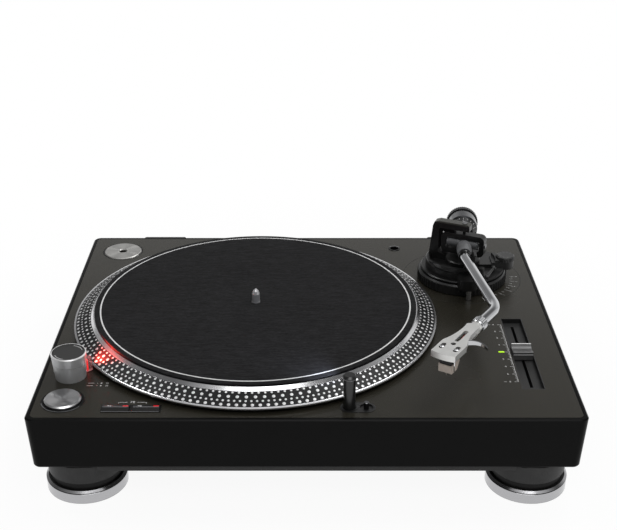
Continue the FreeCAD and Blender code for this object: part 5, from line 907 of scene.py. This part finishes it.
def key_faces(white, chrome, lamp):
    """Number, bright edge and lamp of each speed key, and the bright lip of their bezel."""
    fall = KEY_SLOPE / (KEY_DEPTH - KEY_LIP)
    slope = math.atan(fall)
    back = Vector((0, math.cos(slope), -math.sin(slope)))
    normal = RIGHT.cross(back)
    edge_half = 10.4
    face_middle = 2.1
    number_left = 5.4
    lamp_right = 5.6
    lamp_long = 4.4
    for number, place in KEYS.items():
        name = "key_" + number
        body = "speed_" + number
        edge = place[1] - KEY_DEPTH / 2 + KEY_LIP
        on_top = deck(place[0], edge + face_middle, top_of(name) - face_middle * fall)
        heap = Heap()
        number_at = on_top - RIGHT * (number_left * MM) + normal * (WORD_LIFT * MM)
        heap.words(number, 2.6, number_at, RIGHT, back)
        heap.made(name + "_number", white, body, smooth=False)
        edge_high = top_of(name) - 0.04
        one_bar(name + "_edge", deck(place[0] - edge_half, edge, edge_high),
                deck(place[0] + edge_half, edge, edge_high), 0.8, 0.08, chrome, body)
        start = on_top + RIGHT * (lamp_right * MM) + normal * (0.01 * MM)
        one_bar(name + "_lamp", start, start + RIGHT * (lamp_long * MM), 2.3, 0.12, lamp, body, normal)
    low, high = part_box("key_bezel")
    lip = low.y / MM + DECK_BACK + 0.4
    lip_high = 0.45
    one_bar("key_bezel_lip", deck(low.x / MM + 0.6, lip, lip_high),
            deck(high.x / MM - 1.4, lip, lip_high), 0.55, 0.08, chrome, "base")


def trim_lines(chrome, green):
    """Arcs painted as highlights on part of the start button's bezel and the spare socket's rim, and
    the tempo scale's lamp.
    """
    bezel_high = 0.5
    heap = Heap()
    # Painted highlights: chrome arcs only on the parts of the rims that catch the light.
    heap.arc(START, 17.35, 195, 330, 0.45, bezel_high, 0.06)
    heap.arc(SOCKET, 5.4, 20, 150, 0.4, bezel_high, 0.05)
    heap.made("bezel_highlight_arcs", chrome, "base", smooth=False)
    one_bar("tempo_lamp", deck(168.2, FADER[1]), deck(173.2, FADER[1]), 1.9, 0.25, green, "base")


def dial_marks(white):
    """Two short printed arcs on the power dial."""
    heap = Heap()
    face = top_of("power_dial") - 0.5
    for start, end in ((22, 78), (205, 258)):
        heap.arc(TOWER, 11.6, start, end, 0.45, face, PRINT, steps=16)
    heap.made("dial_marks", white, "dial", smooth=False)


def fader_line(white, grey):
    """White index line across the tempo knob and a painted highlight along the bottom of its front."""
    left = FADER[0] - 8.4
    right = FADER[0] + 8.4
    line_y = FADER[1] + 6.4
    line_high = 4.78
    one_bar("fader_line", deck(left, line_y, line_high), deck(right, line_y, line_high),
            1.15, 0.06, white, "fader")
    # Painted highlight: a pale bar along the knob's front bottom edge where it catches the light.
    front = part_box("pitch_knob")[0].y / MM + DECK_BACK
    edge_high = 1.6
    one_bar("fader_edge", deck(left, front, edge_high), deck(right, front, edge_high),
            0.8, 0.06, grey, "fader", -BACK)


def strobe_light(red):
    """Lit strip behind the lens on the tower."""
    away = 14.0
    aside = 1.2
    one_bar("strobe_light", from_tower(away, aside, 1.6), from_tower(away, aside, 12.0),
            2.4, 1.2, red, "base", TO_PLATTER)


# Tonearm
def screw_head(heap, place, up, radius, height):
    """Round head of a screw, without its slot."""
    centre = 0.001
    profile = [(centre, 0), (radius, 0), (radius, height * 0.7),
               (radius * 0.85, height), (centre, height)]
    heap.turned(profile, place, up, 24)


def screw_slot(heap, place, up, radius, height, along):
    """Slot of a screw head, as a thin dark bar on it."""
    top = place + up * (height * MM)
    half = along * (radius * 0.9 * MM)
    heap.bar(top - half, top + half, radius * 0.3, 0.03, up)


def head_details(steel, dark, wires):
    """Cartridge screws, front pin and lead wires of the headshell."""
    radius = 1.75
    height = 1.5
    heads = Heap()
    slots = Heap()
    for side, back in ((-6.35, 12.0), (6.35, 12.4)):
        place = head_point(back, side, HEAD_RISE - 1.6)
        screw_head(heads, place, UP, radius, height)
        screw_slot(slots, place, UP, radius, height, rightward(HEAD_YAW))
    heads.tube([head_point(1.6, 10.1, 3.0), head_point(1.6, 10.1, -9.4)], 0.42)
    heads.made("head_screws", steel, "arm", lifted=True)
    slots.made("head_screw_slots", dark, "arm", smooth=False, lifted=True)
    wire_gap = 1.15
    for index, material in enumerate(wires):
        aside = (index - 1.5) * wire_gap
        heap = Heap()
        places = []
        for step in range(13):
            share = step / 12
            sway = aside * (1 + 0.3 * math.sin(2 * math.pi * share))
            sag = 1.0 * math.sin(math.pi * share)
            places.append(head_point(50.0 - 24.0 * share, sway, 0.4 - sag))
        heap.tube(places, 0.32, 8)
        heap.made("lead_wire_%d" % (index + 1), material, "arm", lifted=True)


def force_scale(white):
    """Ticks and numbers on the sloped face of the force dial."""
    ticks = 20
    # Distances behind the pivot and out from the arm's axis
    places = ((29.75, 12.15), (31.1, 13.25), (28.6, 11.2))
    slope = (4.0, 3.2)
    pivot = deck(*PIVOT)
    behind = -forward(HOLDER_YAW)
    side = rightward(HOLDER_YAW)
    heap = Heap()
    for index in range(ticks):
        angle = 2 * math.pi * index / ticks
        out = side * math.sin(angle) + UP * math.cos(angle)
        face = (out * slope[0] - behind * slope[1]).normalized()
        low, high, number_at = [pivot + behind * (back * MM) + out * (off * MM) for back, off in places]
        heap.bar(low, high, LINE, PRINT, face)
        if index % 4 == 0:
            read = out.cross(behind)
            heap.words(str(index // 4), 2.2, number_at + face * (0.03 * MM), -read, -read.cross(face))
    heap.made("force_scale", white, "force", smooth=False, lifted=True)


def antiskate_marks(white):
    """Short printed ticks round the anti-skate dial."""
    heap = Heap()
    top = top_of("antiskate_dial") - 0.02
    for index in range(8):
        degrees = 30 + index * 36
        start = around(ANTISKATE, 5.0, degrees, top)
        heap.bar(start, around(ANTISKATE, 6.9, degrees, top), LINE, PRINT)
    heap.made("antiskate_marks", white, "antiskate", smooth=False)


def drum_edge(steel):
    """Line painted bright as a highlight round part of the drum's upper edge."""
    heap = Heap()
    # Painted highlight: a bright metal arc on the lit part of the drum's upper edge.
    heap.arc(PIVOT, 35.3, 168, 272, 0.35, 20.95, PRINT)
    heap.made("drum_edge", steel, "arm_mount", smooth=False)


def frame_fillet(material):
    """Rounded corner inside the arm frame, just outside what the gimbal sweeps, coloured near-black as
    painted shade of the gap between frame and gimbal.
    """
    spare = 0.45
    buried = 1.0
    foot = 30.0
    end = -9.0
    half_depth = 4.0
    steps = 12
    corner = GIMBAL_HALF - GIMBAL_CORNER
    outer = FRAME_INNER - buried
    under = FRAME_UNDER + buried
    outline = [(outer, foot)]
    for index in range(steps + 1):
        angle = math.pi / 2 * index / steps
        reach = math.hypot(corner + GIMBAL_CORNER * math.cos(angle), GIMBAL_DEPTH) + spare
        rise = GIMBAL_TOP - GIMBAL_CORNER + (GIMBAL_CORNER + spare) * math.sin(angle)
        if index == 0:
            outline.append((-reach, foot))
        outline.append((-reach, rise))
    outline += [(end, GIMBAL_TOP + spare), (end, under), (outer, under)]
    points = []
    for depth in (half_depth, -half_depth):
        for reach, rise in outline:
            spot = Vector(PIVOT) + rightward(GIMBAL_YAW) * reach + forward(GIMBAL_YAW) * depth
            points.append(deck(spot.x, spot.y, rise))
    count = len(outline)
    faces = [tuple(range(count)), tuple(range(2 * count - 1, count - 1, -1))]
    for index in range(count):
        following = (index + 1) % count
        faces.append((index, count + index, count + following, following))
    piece("frame_fillet", points, faces, material, "arm_mount", smooth=False)


# Rear side
def rear_details(steel, dark, white, red):
    """Coloured rings of the phono jacks and cross-slotted screws of the jack panel."""
    rear = PLINTH_DEPTH - 2.0
    jack_high = -25
    ring = [(1.7, 8.0), (1.7, 9.05), (3.3, 9.05), (3.3, 8.9)]
    radius = 2.0
    height = 0.8
    for name, x, material in (("right", 105.0, red), ("left", 87.0, white)):
        heap = Heap()
        heap.turned(ring, deck(x, rear, jack_high), BACK, 32)
        heap.made("jack_ring_" + name, material, "base")
    heads = Heap()
    slots = Heap()
    for x in (7.5, 116.5):
        for h in (-34.5, -15.5):
            place = deck(x, rear, h)
            screw_head(heads, place, BACK, radius, height)
            for slant in (1, -1):
                along = Vector((slant, 0, 1)).normalized()
                screw_slot(slots, place, BACK, radius, height, along)
    heads.made("rear_screws", steel, "base")
    slots.made("rear_screw_slots", dark, "base", smooth=False)


# Studio
def world():
    """Soft light from above, behind, high in front and the right, and little from the left."""
    leftward_share = 0.3
    above_light = 0.8
    rear_light = 0.85
    front_light = 0.6
    right_light = 0.7
    left_light = 0.2
    ambient = 0.1
    made = bpy.data.worlds.new("studio")
    bpy.context.scene.world = made
    made.use_nodes = True
    graph = Graph(made.node_tree)
    background = made.node_tree.nodes["Background"]
    across, depth, height = graph.split(graph.node("ShaderNodeTexCoord").outputs["Generated"])
    overhead = graph.both(graph.ramp(height, 0.6, 0.95, 0.0, above_light),
                          graph.ramp(across, -0.5, 0.0, leftward_share, 1.0))
    rear = graph.both(graph.ramp(depth, 0.35, 0.85, 0.0, rear_light),
                      graph.ramp(across, -0.45, -0.2, leftward_share, 1.0))
    front = graph.both(graph.ramp(depth, -0.75, -0.4, 1.0, 0.0),
                       graph.ramp(height, 0.5, 0.72, 0.0, front_light))
    sides = graph.calc("ADD", graph.ramp(across, 0.55, 0.85, 0.0, right_light),
                       graph.ramp(across, -0.9, -0.6, left_light, 0.0))
    low = graph.ramp(height, 0.2, 0.62, 1.0, 0.0)
    wall = graph.both(graph.calc("MAXIMUM", rear, sides), low)
    total = graph.calc("ADD", graph.calc("ADD", wall, graph.calc("MAXIMUM", overhead, front)), ambient)
    seen = graph.node("ShaderNodeLightPath").outputs["Is Camera Ray"]
    graph.feed(background.inputs["Strength"], graph.calc("MAXIMUM", total, seen))
    background.inputs["Color"].default_value = (1, 1, 1, 1)


def floor():
    size = 6.0
    made = piece("floor", [(-size, -size, 0), (size, -size, 0), (size, size, 0), (-size, size, 0)],
                 [(0, 1, 2, 3)], floor_finish(), "base", smooth=False)


def floor_finish():
    """White floor that keeps a soft shadow near the object."""
    near = 0.2
    far = 0.55
    white_when_near = 0.93
    material = bpy.data.materials.new("floor_look")
    material.use_nodes = True
    graph = Graph(material.node_tree)
    shader = material.node_tree.nodes["Principled BSDF"]
    shader.inputs["Base Color"].default_value = (0.86, 0.86, 0.86, 1)
    shader.inputs["Roughness"].default_value = 0.7
    shader.inputs["Specular IOR Level"].default_value = 0.1
    white = graph.node("ShaderNodeEmission")
    reach = graph.vector("LENGTH", graph.node("ShaderNodeTexCoord").outputs["Object"])["Value"]
    fade = graph.ramp(reach, near, far, white_when_near, 1.0)
    path = graph.node("ShaderNodeLightPath")
    seen = graph.calc("MAXIMUM", path.outputs["Is Camera Ray"], path.outputs["Is Glossy Ray"])
    mix = graph.node("ShaderNodeMixShader")
    graph.feed(mix.inputs[0], graph.both(seen, fade))
    graph.feed(mix.inputs[1], shader.outputs[0])
    graph.feed(mix.inputs[2], white.outputs[0])
    graph.feed(material.node_tree.nodes["Material Output"].inputs["Surface"], mix.outputs[0])
    return material


def hang(name, light, place, target):
    """Put a lamp at a place and point it at a target, both in metres."""
    made = bpy.data.objects.new(name, light)
    made.location = place
    made.rotation_euler = (Vector(target) - Vector(place)).to_track_quat("-Z", "Y").to_euler()
    bpy.context.scene.collection.objects.link(made)
    return made


def area_lamp(name, place, width, height, power):
    """Soft lamp that faces the object's middle."""
    middle_of_all = (0, 0, 0.08)
    light = bpy.data.lights.new(name, "AREA")
    light.shape = "RECTANGLE"
    light.size = width
    light.size_y = height
    light.energy = power
    hang(name, light, place, middle_of_all)


def beam_lamp(name, place, target, power, colour, size, degrees, gloss=True):
    """Small coloured lamp of the object itself."""
    light = bpy.data.lights.new(name, "SPOT")
    light.energy = power
    light.color = colour
    light.shadow_soft_size = size
    light.spot_size = math.radians(degrees)
    light.spot_blend = 1.0
    hang(name, light, place, target).visible_glossy = gloss


def camera():
    data = bpy.data.cameras.new("camera")
    data.lens = 66.58
    data.sensor_width = 36
    data.shift_x = 0.0031
    data.shift_y = 0.0803
    made = bpy.data.objects.new("camera", data)
    made.location = (0, -0.94297, 0.5816)
    made.rotation_euler = (math.radians(62), 0, 0)
    bpy.context.scene.collection.objects.link(made)
    bpy.context.scene.camera = made


def studio():
    world()
    floor()
    area_lamp("key_lamp", (0.8, 0.5, 1.6), 0.9, 0.8, 11)
    area_lamp("left_lamp", (-1.1, 0.35, 1.5), 0.45, 0.45, 6)
    area_lamp("front_lamp", (0.1, -1.0, 1.25), 1.0, 0.6, 6)
    beam_lamp("strobe_glow", from_tower(20.3, 0, 11.0), from_tower(40.0, 0, 9.5),
              1.2, (1, 0.06, 0.04), 0.004, 120)
    beam_lamp("target_glow", deck(LAMP[0] - 3, LAMP[1] + 8, 24.5),
              deck(LAMP[0] - 30, LAMP[1] + 34, 16.0), 0.15, (0.74, 0.8, 1), 0.002, 75, gloss=False)
    camera()
    bpy.context.scene.view_settings.view_transform = "Standard"


def main():
    looks = dress_frame()
    white = print_finish("print_white", 190)
    dark = satin_plastic("slot_dark", 14, 0.6)
    chrome = plain_metal("edge_chrome", tone(228, 229, 232), 0.16, 0.001)
    silver = Finish("dot_silver", tone(205, 205, 206), 0.34, metallic=0.75)
    strobe_dots(silver.mottle(60, 0.05).wear(140, 0.05).done())
    slipmat(looks["felt"])
    deck_marks(white)
    arm_scale(print_finish("print_grey", 175), dark)
    key_faces(print_finish("key_print", 235), chrome,
              lit("key_lamp_red", tone(150, 10, 24), 0.3, tone(220, 10, 30), 0.55))
    trim_lines(chrome, lit("tempo_green", tone(150, 200, 20), 0.4, tone(170, 220, 20), 0.8))
    dial_marks(print_finish("dial_print", 205))
    fader_line(print_finish("fader_print", 225), print_finish("fader_painted_highlight", 190))
    strobe_light(lit("strobe_red", tone(255, 20, 20), 0.4, tone(255, 30, 34), 0.75))
    wires = []
    for name, colour in (("red", tone(170, 30, 30)), ("white", tone(200, 200, 198)),
                         ("green", tone(30, 120, 60)), ("blue", tone(40, 60, 150))):
        wires.append(dyed("wire_" + name, colour, 0.45, 800, 0.1))
    head_details(chrome, dark, wires)
    force_scale(white)
    antiskate_marks(print_finish("antiskate_print", 120))
    # Painted shade: the fillet is near-black to stand for the shaded gap between frame and gimbal.
    frame_fillet(satin_plastic("fillet_shade_look", 5, 0.6, 0.1))
    drum_edge(plain_metal("drum_edge_look", tone(120, 120, 122), 0.3))
    rear_details(chrome, dark, print_finish("jack_white", 215),
                 dyed("jack_red", tone(170, 20, 24), 0.4, 500, 0.08))
    studio()


main()
